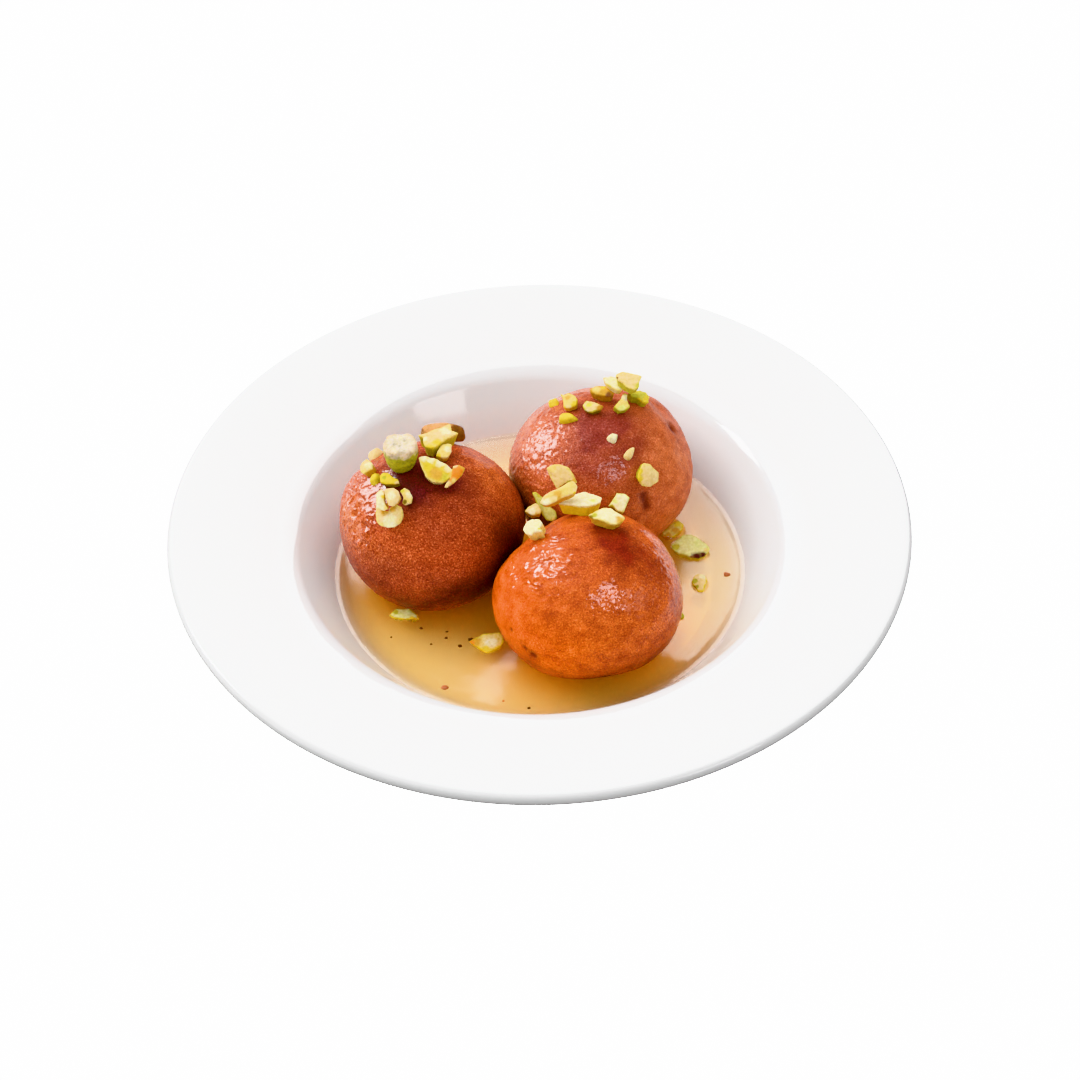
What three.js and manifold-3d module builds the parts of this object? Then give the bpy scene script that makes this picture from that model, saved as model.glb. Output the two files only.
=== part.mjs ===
// Gulab jamun: three fried milk dumplings in a pool of sugar syrup, in a white rim soup
// plate, with chopped pistachio kernels on top of them and afloat beside them.
//
// Millimetres, +Z up. The origin is the middle of the plate's foot, on the table. +X is to
// the right and +Y to the back of the plate as it is served.

import * as THREE from "three";
import { mergeVertices } from "three/addons/utils/BufferGeometryUtils.js";
import Module from "manifold-3d";

const wasm = await Module();
wasm.setup();
const { CrossSection, Manifold, Mesh } = wasm;

// ---------------------------------------------------------------- driving dimensions

const PLATE_RADIUS = 100;
const PLATE_HEIGHT = 32; // table to the top of the lip
const LIP_RADIUS = 1.8; // half the thickness of the rim's rounded edge
const RIM_SLOPE = 10; // degrees, rising outwards
const RIM_INNER_RADIUS = 69.9; // where the rim starts to bend down into the well
const WALL_SLOPE = 52; // degrees, of the well's wall
const SHOULDER_RADIUS = 8.6; // of the bend between rim and wall
const WELL_FILLET = 8.6; // of the bend between wall and floor
const FLOOR_Z = 5.75; // top of the well's floor
const WALL_THICKNESS = 3.7;
const FOOT_OUTER = 46.5;
const FOOT_INNER = 41.5;
const FOOT_HEIGHT = 2;
const FOOT_ROUNDING = 0.6;
const PLATE_SEGMENTS = 64;
const POOL_SEGMENTS = 48;

const SYRUP_Z = 11.4; // level of the pool
const SYRUP_EDGE_DROP = 0.25; // chamfer of the pool's edge, so that it stays off the glaze
const CLEARANCE = 0.3; // between the pool and what stands in it or holds it
const RESTING_GAP = 0.05; // under a dumpling
const TOUCHING_GAP = 0.3; // between two dumplings
const PIECE_GAP = 0.15; // between a piece of pistachio and what it lies against
const REACH = 75; // length of the way on which a piece comes in

const JAMUN_ROUND = 32; // facets round a dumpling
const JAMUN_RINGS = 20; // and from its top to its bottom
const JAMUN_SEAT = 0.96; // height of its middle, as a share of its upper half
const KERNEL_ROUND = 9;
const KERNEL_RINGS = 7;
const FLAKE_ROUND = 6;
const FLAKE_RINGS = 4;

// A dumpling has its place in plan, half its width, and the height of its upper half.
// A lump is a swelling or, where its height is less than nothing, a dent:
// [bearing, lean from the top, spread (all in degrees), height].
const JAMUNS = {
  front: {
    at: [12.6, -24.0], wide: 25.1, tall: 19.6,
    lumps: [[140, 62, 22, -1.2], [60, 52, 24, 1.1], [-160, 80, 26, 0.5], [0, 62, 24, 0.3],
      [-42, 86, 22, -0.4], [-115, 88, 24, 0.5], [-75, 60, 20, -0.3],
      [-82, 128, 24, -1.6]],
  },
  left: {
    at: [-28.8, 4.2], wide: 25.2, tall: 20.9,
    lumps: [[158, 60, 28, 0.9], [60, 44, 26, -0.5], [-165, 88, 24, -0.3], [-50, 80, 24, 0.7],
      [-110, 80, 24, -0.5], [10, 30, 18, 0.2]],
  },
  back: {
    at: [17.3, 24.6], wide: 25.5, tall: 21.3,
    lumps: [[24, 48, 9, -0.9], [112, 50, 26, -1.0], [165, 64, 20, -0.4], [40, 66, 18, 0.7],
      [-10, 64, 18, -0.4], [-35, 88, 20, 0.8], [-100, 60, 26, 0.4], [-62, 72, 8, -0.4]],
  },
};

// ---------------------------------------------------------------- pistachio rows
//
// A piece is a shard or what is left of a kernel.
//
// A shard is flat. It faces a bearing and a rise; its outline is drawn on that face, about
// the origin, and the far side is the outline scaled by `taper`, `thick` behind it.
//
// A kernel (length, width, height) lies along X and has flat cuts. A cut is [bearing, rise,
// distance]: the way its face looks, in the kernel's own frame, and how far from the
// kernel's middle it lies. It is rolled about its length (tip), pitched (nose) and turned
// (turn) as on a level table, then leaned over to the skin of the dumpling that it lies on.
//
// Over an `at` in plan the piece is let down on what is there. At a full `at`, with a
// height, it is pushed on from the front and above until it lies against something.

const ON_THE_DUMPLINGS = {
  // on the left dumpling
  left_oval: { faces: [-110, 48], thick: 2.8, taper: 0.85, at: [-39.3, -11.2, 44],
    outline: [[-3.8, -0.5], [-3, -1.9], [-0.9, -2.9], [0.8, -2.9], [2.7, -2], [3.7, -0.1],
      [3.5, 2.1], [2.1, 3], [0.5, 2.6], [-0.3, 1.5], [-2.3, 2.3], [-3.5, 2.8]] },
  left_green: { faces: [-127, 64], thick: 2.4, taper: 0.9, at: [-39.7, -0.2, 47.4],
    outline: [[-2.2, -0.6], [-0.6, -1.3], [1.5, -1.9], [3, -1.8], [2.6, -0.5], [0.9, 0.7],
      [0, 1.9], [-1.4, 2.3], [-2.4, 1.4]] },
  left_nub: { faces: [-119, 49], thick: 2, taper: 0.85, at: [-41.5, -9.2, 47.9],
    outline: [[-1.6, -1.9], [0.6, -2.8], [1.7, -2.3], [0.9, -0.3], [1.3, 1.9], [0.6, 3.2],
      [-1.1, 2.2]] },
  left_cube: { faces: [-112, 52], thick: 2.6, taper: 0.8, at: [-38.4, -9.2, 49.5],
    outline: [[-1.9, -0.2], [-1.2, -2.1], [0.1, -2.7], [1.3, -2], [2.2, -0.4], [1.8, 1.3],
      [0.5, 2.3], [-1.9, 2.2]] },
  left_chip: { faces: [-105, 60], thick: 2, taper: 0.8, at: [-34.8, -6.4, 46.7],
    outline: [[-0.9, 0.1], [-1.1, -1.8], [-0.4, -2.4], [1.1, -1.9], [1.7, -0.5], [0.7, 1.6],
      [-0.4, 2.6], [-1.6, 1.8]] },
  left_pale: { faces: [-160, 60], thick: 3, taper: 0.8, at: [-45.3, 7.1],
    outline: [[-1.7, -1.3], [-0.7, -2.3], [0.2, -1.7], [1.8, -1.4], [2.2, -0.3], [1.4, 1.2],
      [0.3, 2.4], [-1.2, 1.7], [-2, 0.8]] },
  left_stub: { kernel: [17, 9.2, 8.8], cuts: [[0, 0, 2.0], [180, 20, 6.2]],
    at: [-36.2, 5.2], tip: 0, nose: -88, turn: -90 },
  left_halfmoon: { faces: [-85, 58], thick: 3.4, taper: 0.9, at: [-27, -0.7, 50.8],
    outline: [[-3.7, 0.7], [-2.6, -1.9], [-0.8, -3.4], [1.8, -3.6], [4, -2.4], [4.6, 0],
      [2.8, 1.5], [-0.1, 3.1], [-2.8, 3.8], [-4.5, 3.5]] },
  left_wedge: { faces: [-71, 60], thick: 2.2, taper: 0.8, at: [-21.6, -3.6, 51.5],
    outline: [[-1.1, 0.9], [-1.3, -1.2], [-3, -3.5], [-2.2, -3.8], [-0.1, -2.1], [1.7, -0.1],
      [2.5, 2], [0.8, 2.9], [-0.7, 2.5]] },
  left_chunk: { faces: [-17, 86], thick: 4.2, taper: 0.8, at: [-26.4, 13],
    outline: [[-3.8, -0.7], [-3.9, -2.4], [-3.3, -4.1], [-1.3, -4.8], [0, -3.6], [2, -1.4],
      [3.5, -0.1], [5.8, 1.2], [3.7, 2.3], [3.3, 5.1], [-0.7, 2.7], [-3.4, 0.9], [-5.5, 0.2]] },
  left_leaf: { faces: [-50, 79], thick: 2.4, taper: 0.8, at: [-24.7, 8.6, 49.2],
    outline: [[-1.8, 0], [-2.3, -1.9], [-0.5, -2.5], [1, -2.1], [1.9, 0], [1.8, 2.5],
      [0.8, 2.7], [-0.9, 1.9]] },
  left_toasted: { lies: "left", kernel: [14.4, 6.4, 6.2],
    cuts: [[0, -90, 2.0], [0, 10, 5.8], [180, 0, 6.0]],
    at: [-25.5, 22.5], tip: 0, nose: -4, turn: 8 },

  // on the back dumpling
  back_golden: { faces: [-86, 80], thick: 2.8, taper: 0.85, at: [18, 30.1],
    outline: [[-3.1, -0.3], [-2, -1.1], [0.2, -1.7], [2.3, -1.9], [3.3, -0.8], [2.6, 0.7],
      [0.5, 1.8], [-1.5, 1.9], [-3.5, 0.8]] },
  back_rhomb: { faces: [-101, 72], thick: 2.2, taper: 0.85, at: [15.4, 24.1],
    outline: [[-2.1, -0.8], [0, -1.7], [2.4, -1], [3.1, 0], [0.5, 1.3], [-1.4, 1.9], [-2.5, 0.6]] },
  back_knob: { faces: [-132, 72], thick: 2.4, taper: 0.85, at: [9.1, 27.6],
    outline: [[-1.8, 1.6], [-1.6, 0.1], [-1.7, -2], [-0.2, -2.5], [1.8, -1.9], [2.4, -0.2],
      [1.4, 1.4], [0.1, 2.6], [-1.1, 2.2], [-2.4, 2.8]] },
  back_fan: { faces: [-64, 72], thick: 2.2, taper: 0.9, at: [23.2, 25.6],
    outline: [[-0.5, 1.3], [-1.5, 0], [-2.5, -1.4], [-1.1, -2.5], [0.9, -1.8], [2.1, -0.8],
      [1.1, 1.4], [1.4, 2.9], [0.6, 3.4], [-0.1, 2.8]] },
  back_band: { faces: [-33, 71], thick: 2.6, taper: 0.85, at: [27.9, 29.7],
    outline: [[-2.4, -0.9], [-0.5, -0.9], [0.4, -2.1], [2.1, -1.9], [2.6, 0.1], [1.6, 1.7],
      [0, 2], [-2, 1.1], [-3.7, 0]] },
  back_pale: { faces: [-62, 80], thick: 2.2, taper: 0.85, at: [21.1, 30.3],
    outline: [[-2.1, 0], [-0.7, -1.4], [0.9, -2.5], [2.3, -2.5], [2.6, -0.6], [1, 0.5],
      [0.6, 2.2], [-0.9, 2.4], [-2.8, 2]] },
  back_pink: { faces: [-47, 74], thick: 2.8, taper: 0.85, at: [25.3, 28.5],
    outline: [[-3.3, -0.3], [-2, -1.3], [-0.7, -2.6], [1.2, -3.2], [2.6, -2.2], [2.7, -0.2],
      [3.6, 1.7], [-0.4, 2.4], [-2, 2.4], [-3.7, 1.5]] },
  back_slope: { faces: [-67, 33], thick: 3.4, taper: 0.75, at: [29.5, 4.8, 41.5],
    outline: [[-2.8, -1.3], [-1.5, -2.8], [1.1, -3.1], [3.1, -1.2], [3, 1.1], [0.1, 3.2],
      [-1.9, 3.1], [-2.9, 0.6]] },

  // in the cleft behind the front dumpling
  cleft_mid: { faces: [-8, 82], thick: 2.8, taper: 0.8, at: [18, -15.1, 46.1],
    outline: [[-4, -1.3], [-2.1, -1.8], [0.1, -2.7], [2, -2.9], [4.3, -1.3], [4.7, 0.2],
      [2.1, 1.8], [1, 3.1], [-1.3, 2.9], [-3.4, 1.4], [-5.2, -0.2]] },
  cleft_big: { faces: [99, 74], thick: 3.6, taper: 0.8, at: [10.9, -6.1],
    outline: [[-6.3, -1], [-3.8, -2.1], [-0.9, -3.2], [1.5, -4], [3.2, -3.1], [5.2, -1.7],
      [5.5, 0.5], [4.5, 1.4], [1.1, 4.3], [-1, 3.8], [-3.8, 1.9], [-6.5, 0.2]] },
  cleft_chunk: { faces: [-176, 66], thick: 3.4, taper: 0.85, at: [-1.2, -16],
    outline: [[-2.8, -0.2], [-2.2, -1.5], [-0.6, -2.7], [0.6, -2.2], [2.4, -2.7], [2.6, -2.1],
      [1.8, -1.2], [2.3, -0.8], [2.9, 0.3], [2.1, 1.7], [0.1, 2.7], [-1.6, 2.6], [-2.4, 1.3]] },
  cleft_top: { faces: [-111, 38], thick: 2.6, taper: 0.85, at: [6.2, 5.5, 42],
    outline: [[-2.7, -1.1], [-1.6, -3.5], [-0.5, -3], [1.3, -2.2], [2.8, -2.2], [4.1, -2.9],
      [3.6, -0.4], [2.3, 1.7], [0.3, 2.9], [-2, 3.1], [-3.7, 2.4]] },
  cleft_thin: { faces: [-90, 48], thick: 2.2, taper: 0.8, at: [1.8, 2.4, 32.8],
    outline: [[-1.9, 0.5], [-0.8, -2], [0.4, -3.4], [1.9, -3.7], [3.1, -2.8], [3.1, -1.1],
      [0.4, 1.2], [-0.6, 3], [-2.3, 4.6], [-3.4, 4.3]] },
  cleft_right: { faces: [-92, 62], thick: 2.8, taper: 0.85, at: [21.8, -1.1, 37.9],
    outline: [[-1.8, -1.4], [-0.8, -2.4], [0.7, -3.1], [1.8, -1.1], [2.6, 1.3], [1.4, 2.5],
      [-0.8, 2.6], [-1.5, 1.4], [-3.2, -1]] },
  cleft_small: { faces: [-90, 72], thick: 2.6, taper: 0.8, at: [-1.3, 1.1, 33.6],
    outline: [[-0.6, -1.6], [1.7, -1.3], [2, -0.3], [1.4, 1.2], [0.6, 2.1], [-1.6, 0.7],
      [-2.5, -0.5]] },
  cleft_strip: { faces: [-91, 67], thick: 3, taper: 0.85, at: [5.8, -7.6, 47.5],
    outline: [[1, 2.3], [-0.5, 1.3], [-2.6, 0.5], [-4.5, -0.8], [-5.4, -2.7], [-4.1, -3.2],
      [-2, -2.8], [0.1, -1.7], [2.2, -0.7], [4.4, 0.1], [4.6, 2.1], [3.9, 3.5], [2.1, 3.2]] },
};

// Afloat: `proud` is how far the piece's top stands above the pool.
const AFLOAT = {
  float_wedge: { faces: [-86, 79], thick: 3, taper: 0.8, at: [-36.9, -16.3], proud: 1.6,
    outline: [[-2.9, -1], [-0.1, -1.6], [4.1, -1.7], [3.3, 0.1], [1.3, 1.9], [-2.1, 1.8],
      [-4.3, -0.2]] },
  float_orange: { faces: [-88, 79], thick: 3.4, taper: 0.8, at: [-14.7, -28.1], proud: 2.2,
    outline: [[-2.4, -2.1], [-0.3, -3.4], [3.2, -1.8], [4.2, 0.1], [3.1, 2.9], [-1.6, 2.5],
      [-5.2, 0.2]] },
  float_ochre: { faces: [-94, 79], thick: 3.4, taper: 0.8, at: [36.7, 14.1], proud: 1.6,
    outline: [[-2.8, -2.5], [-0.9, -3], [0.6, -1.9], [2.8, 0.1], [3.1, 1.9], [2.1, 3.2],
      [0.6, 2.9], [-1.7, 0.6], [-3.7, -1.4]] },
  float_skin: { faces: [-94, 81], thick: 4, taper: 0.85, at: [41.5, 6.5], proud: 2.4,
    outline: [[-5, -0.7], [-3.5, -2.3], [-1, -2.9], [-0.6, -3.8], [2.2, -3.9], [4.1, -2.9],
      [4.8, -2], [5.5, -0.9], [2.3, 2.9], [0.5, 4.2], [-2, 4.1], [-3.6, 2.3], [-5.3, 1.1]] },
  float_small: { faces: [-94, 79], thick: 3, taper: 0.8, at: [43.3, -6.9], proud: 1.4,
    outline: [[-2.1, -0.5], [-1.1, -1.5], [-0.6, -3.1], [0.7, -3.3], [1.4, -1.3], [2, 0.5],
      [1.6, 2.4], [-0.2, 2.8], [-1.3, 2.2], [-2.2, 0.4]] },
};

// A flake sticks to a dumpling: its length, width and height, its place as a bearing and a
// lean from the top, and its turn on the skin.
const FLAKES = {
  front: [],
  left: [
    { size: [4.6, 3.4, 2.6], bearing: 138, lean: 50, turn: 40 },
    { size: [4.2, 2.4, 2.2], bearing: -178, lean: 34, turn: 70 },
  ],
  back: [
    { size: [3.2, 2.8, 2.4], bearing: 148, lean: 34, turn: 60 },
    { size: [6.2, 2.8, 2.2], bearing: -168, lean: 20, turn: -18 },
    { size: [3.6, 2.4, 2.0], bearing: -71, lean: 23, turn: 50 },
    { size: [4.8, 2.0, 1.8], bearing: -60, lean: 36, turn: 62 },
  ],
};
const FLAKE_SUNK = 0.35; // share of a flake's height that is under the dumpling's skin

const COLOURS = {
  porcelain: 0xf4f3f1,
  syrup: 0xd9ab62,
  jamun_front: 0xb9501c,
  jamun_left: 0x93391b,
  jamun_back: 0x9c3f22,
  pistachio: 0xdbd58a,
};

// ---------------------------------------------------------------- helpers

const radians = THREE.MathUtils.degToRad;

// The way that a bearing (from +X towards +Y) and a rise above the horizontal look.
function way(bearing, rise) {
  const b = radians(bearing);
  const r = radians(rise);
  return new THREE.Vector3(Math.cos(r) * Math.cos(b), Math.cos(r) * Math.sin(b), Math.sin(r));
}

// Points of an arc in the (radius, height) plane, from one angle to another in degrees.
function arc(r, z, radius, from, to, steps) {
  return Array.from({ length: steps + 1 }, (_, i) => {
    const a = radians(from + (to - from) * (i / steps));
    return [r + radius * Math.cos(a), z + radius * Math.sin(a)];
  });
}

// One closed surface: shared vertices merged, and triangles without a third corner dropped.
function closed(geometry) {
  geometry.deleteAttribute("normal");
  geometry.deleteAttribute("uv");
  const merged = mergeVertices(geometry, 1e-4);
  const corners = merged.index.array;
  const kept = [];
  for (let i = 0; i < corners.length; i += 3) {
    const [a, b, c] = corners.slice(i, i + 3);
    if (a !== b && b !== c && c !== a) kept.push(a, b, c);
  }
  merged.setIndex(kept);
  return merged;
}

function solidOf(geometry) {
  const mesh = closed(geometry.clone());
  return new Manifold(new Mesh({
    numProp: 3,
    vertProperties: new Float32Array(mesh.attributes.position.array),
    triVerts: new Uint32Array(mesh.index.array),
  }));
}

function geometryOf(solid) {
  const mesh = solid.getMesh();
  const geometry = new THREE.BufferGeometry();
  geometry.setAttribute("position", new THREE.BufferAttribute(mesh.vertProperties, 3));
  geometry.setIndex(new THREE.BufferAttribute(mesh.triVerts, 1));
  geometry.computeVertexNormals();
  return geometry;
}

// A solid of revolution about +Z. The profile runs from the axis at the bottom, out and up,
// back to the axis at the top.
function turned(profile, segments) {
  const points = profile.map(([r, z]) => new THREE.Vector2(r, z));
  return new THREE.LatheGeometry(points, segments).rotateX(Math.PI / 2);
}

function material(colour, roughness) {
  return new THREE.MeshStandardMaterial({ color: colour, roughness, metalness: 0 });
}

const dish = new THREE.Group();

function addMesh(name, geometry, finish) {
  const mesh = new THREE.Mesh(geometry, finish);
  mesh.name = name;
  dish.add(mesh);
  return mesh;
}

// ---------------------------------------------------------------- plate

// The bend centres follow from the slopes: the shoulder's lies under the rim's inner end,
// and the fillet's lies one radius above the floor, level with where the wall meets it.
const rimTopZ = PLATE_HEIGHT - LIP_RADIUS + LIP_RADIUS * Math.cos(radians(RIM_SLOPE));
const lipTopRadius = PLATE_RADIUS - LIP_RADIUS - LIP_RADIUS * Math.sin(radians(RIM_SLOPE));
const rimInnerZ = rimTopZ - (lipTopRadius - RIM_INNER_RADIUS) * Math.tan(radians(RIM_SLOPE));
const shoulder = {
  r: RIM_INNER_RADIUS + SHOULDER_RADIUS * Math.sin(radians(RIM_SLOPE)),
  z: rimInnerZ - SHOULDER_RADIUS * Math.cos(radians(RIM_SLOPE)),
};
const wallTop = {
  r: shoulder.r - SHOULDER_RADIUS * Math.sin(radians(WALL_SLOPE)),
  z: shoulder.z + SHOULDER_RADIUS * Math.cos(radians(WALL_SLOPE)),
};
const wallBottomZ = FLOOR_Z + WELL_FILLET * (1 - Math.cos(radians(WALL_SLOPE)));
const wallBottomR = wallTop.r - (wallTop.z - wallBottomZ) / Math.tan(radians(WALL_SLOPE));
const floorRadius = wallBottomR - WELL_FILLET * Math.sin(radians(WALL_SLOPE));
const fillet = { r: floorRadius, z: FLOOR_Z + WELL_FILLET };

function plateProfile() {
  const foot = FOOT_ROUNDING;
  const underFillet = WELL_FILLET + WALL_THICKNESS;
  const underShoulder = SHOULDER_RADIUS - WALL_THICKNESS;
  const footAngle = 270 + THREE.MathUtils.radToDeg(Math.asin((FOOT_OUTER - fillet.r) / underFillet));
  return [
    [0, FOOT_HEIGHT],
    [FOOT_INNER, FOOT_HEIGHT],
    ...arc(FOOT_INNER + foot, foot, foot, 180, 270, 1),
    ...arc(FOOT_OUTER - foot, foot, foot, 270, 360, 1),
    ...arc(fillet.r, fillet.z, underFillet, footAngle, 270 + WALL_SLOPE, 4),
    ...arc(shoulder.r, shoulder.z, underShoulder, 90 + WALL_SLOPE, 90 + RIM_SLOPE, 2),
    ...arc(PLATE_RADIUS - LIP_RADIUS, PLATE_HEIGHT - LIP_RADIUS, LIP_RADIUS,
      RIM_SLOPE - 90, RIM_SLOPE + 90, 5),
    ...arc(shoulder.r, shoulder.z, SHOULDER_RADIUS, 90 + RIM_SLOPE, 90 + WALL_SLOPE, 4),
    ...arc(fillet.r, fillet.z, WELL_FILLET, 270 + WALL_SLOPE, 270, 4),
    [0, FLOOR_Z],
  ];
}

addMesh("plate", closed(turned(plateProfile(), PLATE_SEGMENTS)), material(COLOURS.porcelain, 0.12));

// ---------------------------------------------------------------- dumplings

const middleOf = (jamun) => new THREE.Vector3(
  jamun.at[0], jamun.at[1], FLOOR_Z + RESTING_GAP + JAMUN_SEAT * jamun.tall);

// Where two dumplings lean on each other both are flat, on a plane between them.
function contactPlanes(name) {
  const own = JAMUNS[name];
  return Object.keys(JAMUNS).filter((other) => other !== name).map((other) => {
    const next = JAMUNS[other];
    const across = new THREE.Vector3(next.at[0] - own.at[0], next.at[1] - own.at[1], 0);
    const share = own.wide / (own.wide + next.wide);
    return { normal: across.clone().normalize(), distance: across.length() * share - TOUCHING_GAP / 2 };
  });
}

// A point of the skin, seen from the middle along a unit vector, with `grow` added all round.
function jamunPoint(name, direction, grow = 0) {
  const jamun = JAMUNS[name];
  let swell = grow;
  for (const [bearing, lean, spread, height] of jamun.lumps) {
    const angle = direction.angleTo(way(bearing, 90 - lean));
    swell += height * Math.exp(-((angle / radians(spread)) ** 2));
  }
  const point = new THREE.Vector3(
    direction.x * (jamun.wide + swell),
    direction.y * (jamun.wide + swell),
    direction.z * (jamun.tall + swell),
  );
  for (const { normal, distance } of contactPlanes(name)) {
    const past = point.dot(normal) - distance - grow;
    if (past > 0) point.addScaledVector(normal, -past);
  }
  point.z = Math.max(point.z, -JAMUN_SEAT * jamun.tall - grow);
  return point;
}

function jamunGeometry(name, grow = 0) {
  const geometry = closed(new THREE.SphereGeometry(1, JAMUN_ROUND, JAMUN_RINGS).rotateX(Math.PI / 2));
  const position = geometry.attributes.position;
  const direction = new THREE.Vector3();
  for (let i = 0; i < position.count; i += 1) {
    direction.fromBufferAttribute(position, i).normalize();
    const point = jamunPoint(name, direction, grow);
    position.setXYZ(i, point.x, point.y, point.z);
  }
  const middle = middleOf(JAMUNS[name]);
  return geometry.translate(middle.x, middle.y, middle.z);
}

// ---------------------------------------------------------------- pistachio

// A kernel lies along X; each cut takes away all that lies past its face.
function kernelPiece(kernel, cuts, grow = 0, round = KERNEL_ROUND, rings = KERNEL_RINGS) {
  const [length, width, height] = kernel;
  const whole = new THREE.SphereGeometry(1, round, rings)
    .rotateZ(-Math.PI / 2)
    .scale(length / 2 + grow, width / 2 + grow, height / 2 + grow);
  return cuts.reduce((solid, [bearing, rise, distance]) => {
    const face = way(bearing, rise);
    return solid.trimByPlane([-face.x, -face.y, -face.z], -(distance + grow));
  }, solidOf(whole));
}

function shardPiece({ outline, thick, taper }, grow = 0) {
  return new CrossSection([outline])
    .offset(grow, "Miter")
    .extrude(thick + 2 * grow, 0, 0, [taper, taper])
    .mirror([0, 0, 1])
    .translate([0, 0, grow]);
}

function pieceOf(row, grow = 0) {
  return row.outline ? shardPiece(row, grow) : kernelPiece(row.kernel, row.cuts, grow);
}

// The way that a dumpling's skin looks where a point in plan lies over it.
function skinNormal(name, [x, y]) {
  const { at, wide, tall } = JAMUNS[name];
  const across = new THREE.Vector2((x - at[0]) / wide, (y - at[1]) / wide);
  const up = Math.sqrt(Math.max(1 - across.lengthSq(), 0));
  return new THREE.Vector3(across.x / wide, across.y / wide, up / tall).normalize();
}

function pose(row) {
  const up = new THREE.Vector3(0, 0, 1);
  if (row.faces) return new THREE.Quaternion().setFromUnitVectors(up, way(...row.faces));
  const euler = new THREE.Euler(radians(row.tip), radians(row.nose), radians(row.turn), "ZYX");
  const turn = new THREE.Quaternion().setFromEuler(euler);
  if (!row.lies) return turn;
  return new THREE.Quaternion().setFromUnitVectors(up, skinNormal(row.lies, row.at)).multiply(turn);
}

function turnedSolid(solid, turn) {
  return solid.transform(new THREE.Matrix4().makeRotationFromQuaternion(turn).elements);
}

const DOWN = new THREE.Vector3(0, 0, -1);
const PUSH = way(90, -44);
const touches = (solid, others) => others.some((other) => !solid.intersect(other).isEmpty());

// How far a solid goes along a unit vector, from REACH short of where it is, until it
// touches one of the others; it stops the gap short of that.
function travel(solid, others, direction) {
  const COARSE = 1;
  const FINE = 0.01;
  const gone = (distance) => solid.translate(direction.clone().multiplyScalar(distance).toArray());
  let free = -REACH;
  while (!touches(gone(free + COARSE), others)) free += COARSE;
  let stuck = free + COARSE;
  while (stuck - free > FINE) {
    const middle = (free + stuck) / 2;
    if (touches(gone(middle), others)) stuck = middle;
    else free = middle;
  }
  return free - PIECE_GAP;
}

// The mesh of one piece, in its own frame, placed by its position and rotation. Over a
// place in plan `settle` gives its height; at a full place it is pushed on from there.
function addPiece(name, row, settle) {
  const piece = pieceOf(row);
  const turn = pose(row);
  const upright = turnedSolid(piece, turn);
  const { min, max } = upright.boundingBox();
  const place = new THREE.Vector3(...row.at);
  if (row.at.length === 2) {
    place.set(row.at[0] - (min[0] + max[0]) / 2, row.at[1] - (min[1] + max[1]) / 2, 0);
  }
  place.add(settle(upright.translate(place.toArray()), row.at.length === 2 ? DOWN : PUSH, max[2]));
  const mesh = addMesh(`pistachio_${name}`, geometryOf(piece), material(COLOURS.pistachio, 0.55));
  mesh.quaternion.copy(turn);
  mesh.position.copy(place);
  return { solid: upright.translate(place.toArray()), turn, offset: place.toArray() };
}

// A flake on a dumpling's skin: a small kernel end with its flat side down.
function flakeSolid(name, flake) {
  const direction = way(flake.bearing, 90 - flake.lean);
  const skin = jamunPoint(name, direction).add(middleOf(JAMUNS[name]));
  const [length, width, height] = flake.size;
  const body = kernelPiece([length, width, height * 2], [[0, -90, height * FLAKE_SUNK]],
    0, FLAKE_ROUND, FLAKE_RINGS);
  const upright = new THREE.Quaternion().setFromUnitVectors(new THREE.Vector3(0, 0, 1), direction);
  const spin = new THREE.Quaternion().setFromAxisAngle(new THREE.Vector3(0, 0, 1), radians(flake.turn));
  const place = new THREE.Matrix4().compose(skin, upright.multiply(spin), new THREE.Vector3(1, 1, 1));
  return body.transform(place.elements);
}

// ---------------------------------------------------------------- what lies in the plate

const placed = [];
for (const name of Object.keys(JAMUNS)) {
  const solid = FLAKES[name].reduce(
    (sum, flake) => sum.add(flakeSolid(name, flake)), solidOf(jamunGeometry(name)));
  addMesh(`jamun_${name}`, geometryOf(solid), material(COLOURS[`jamun_${name}`], 0.35));
  placed.push(solid);
}

for (const [name, row] of Object.entries(ON_THE_DUMPLINGS)) {
  const settle = (solid, direction) => direction.clone().multiplyScalar(travel(solid, placed, direction));
  placed.push(addPiece(name, row, settle).solid);
}

// The pool fills the well up to its level. Its outline is the well's, less the clearance.
function poolProfile() {
  const bend = WELL_FILLET - CLEARANCE;
  const steepness = Math.tan(radians(WALL_SLOPE));
  const wallEnd = arc(fillet.r, fillet.z, bend, 270 + WALL_SLOPE, 270 + WALL_SLOPE, 1)[0];
  const levelRadius = wallEnd[0] + (SYRUP_Z - SYRUP_EDGE_DROP - wallEnd[1]) / steepness;
  return [
    [0, FLOOR_Z + CLEARANCE],
    ...arc(fillet.r, fillet.z, bend, 270, 270 + WALL_SLOPE, 4),
    [levelRadius, SYRUP_Z - SYRUP_EDGE_DROP],
    [levelRadius - SYRUP_EDGE_DROP, SYRUP_Z],
    [0, SYRUP_Z],
  ];
}

let pool = solidOf(turned(poolProfile(), POOL_SEGMENTS));
for (const name of Object.keys(JAMUNS)) pool = pool.subtract(solidOf(jamunGeometry(name, CLEARANCE)));
for (const [name, row] of Object.entries(AFLOAT)) {
  const settle = (solid, direction, top) => new THREE.Vector3(0, 0, SYRUP_Z + row.proud - top);
  const { turn, offset } = addPiece(name, row, settle);
  const room = turnedSolid(pieceOf(row, CLEARANCE), turn);
  pool = pool.subtract(room.translate(offset));
}
addMesh("syrup", geometryOf(pool), material(COLOURS.syrup, 0.05));

export default dish;
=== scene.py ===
# Gulab jamun in a rim soup plate: the looks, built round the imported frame.
#
# Sizes are in millimetres and angles in degrees; meshes go to Blender in metres. The origin
# is the middle of the plate's foot, +Z is up and +Y is the back of the plate.

import math
from collections import namedtuple

import bpy
import numpy as np
from mathutils import Matrix, Vector


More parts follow.
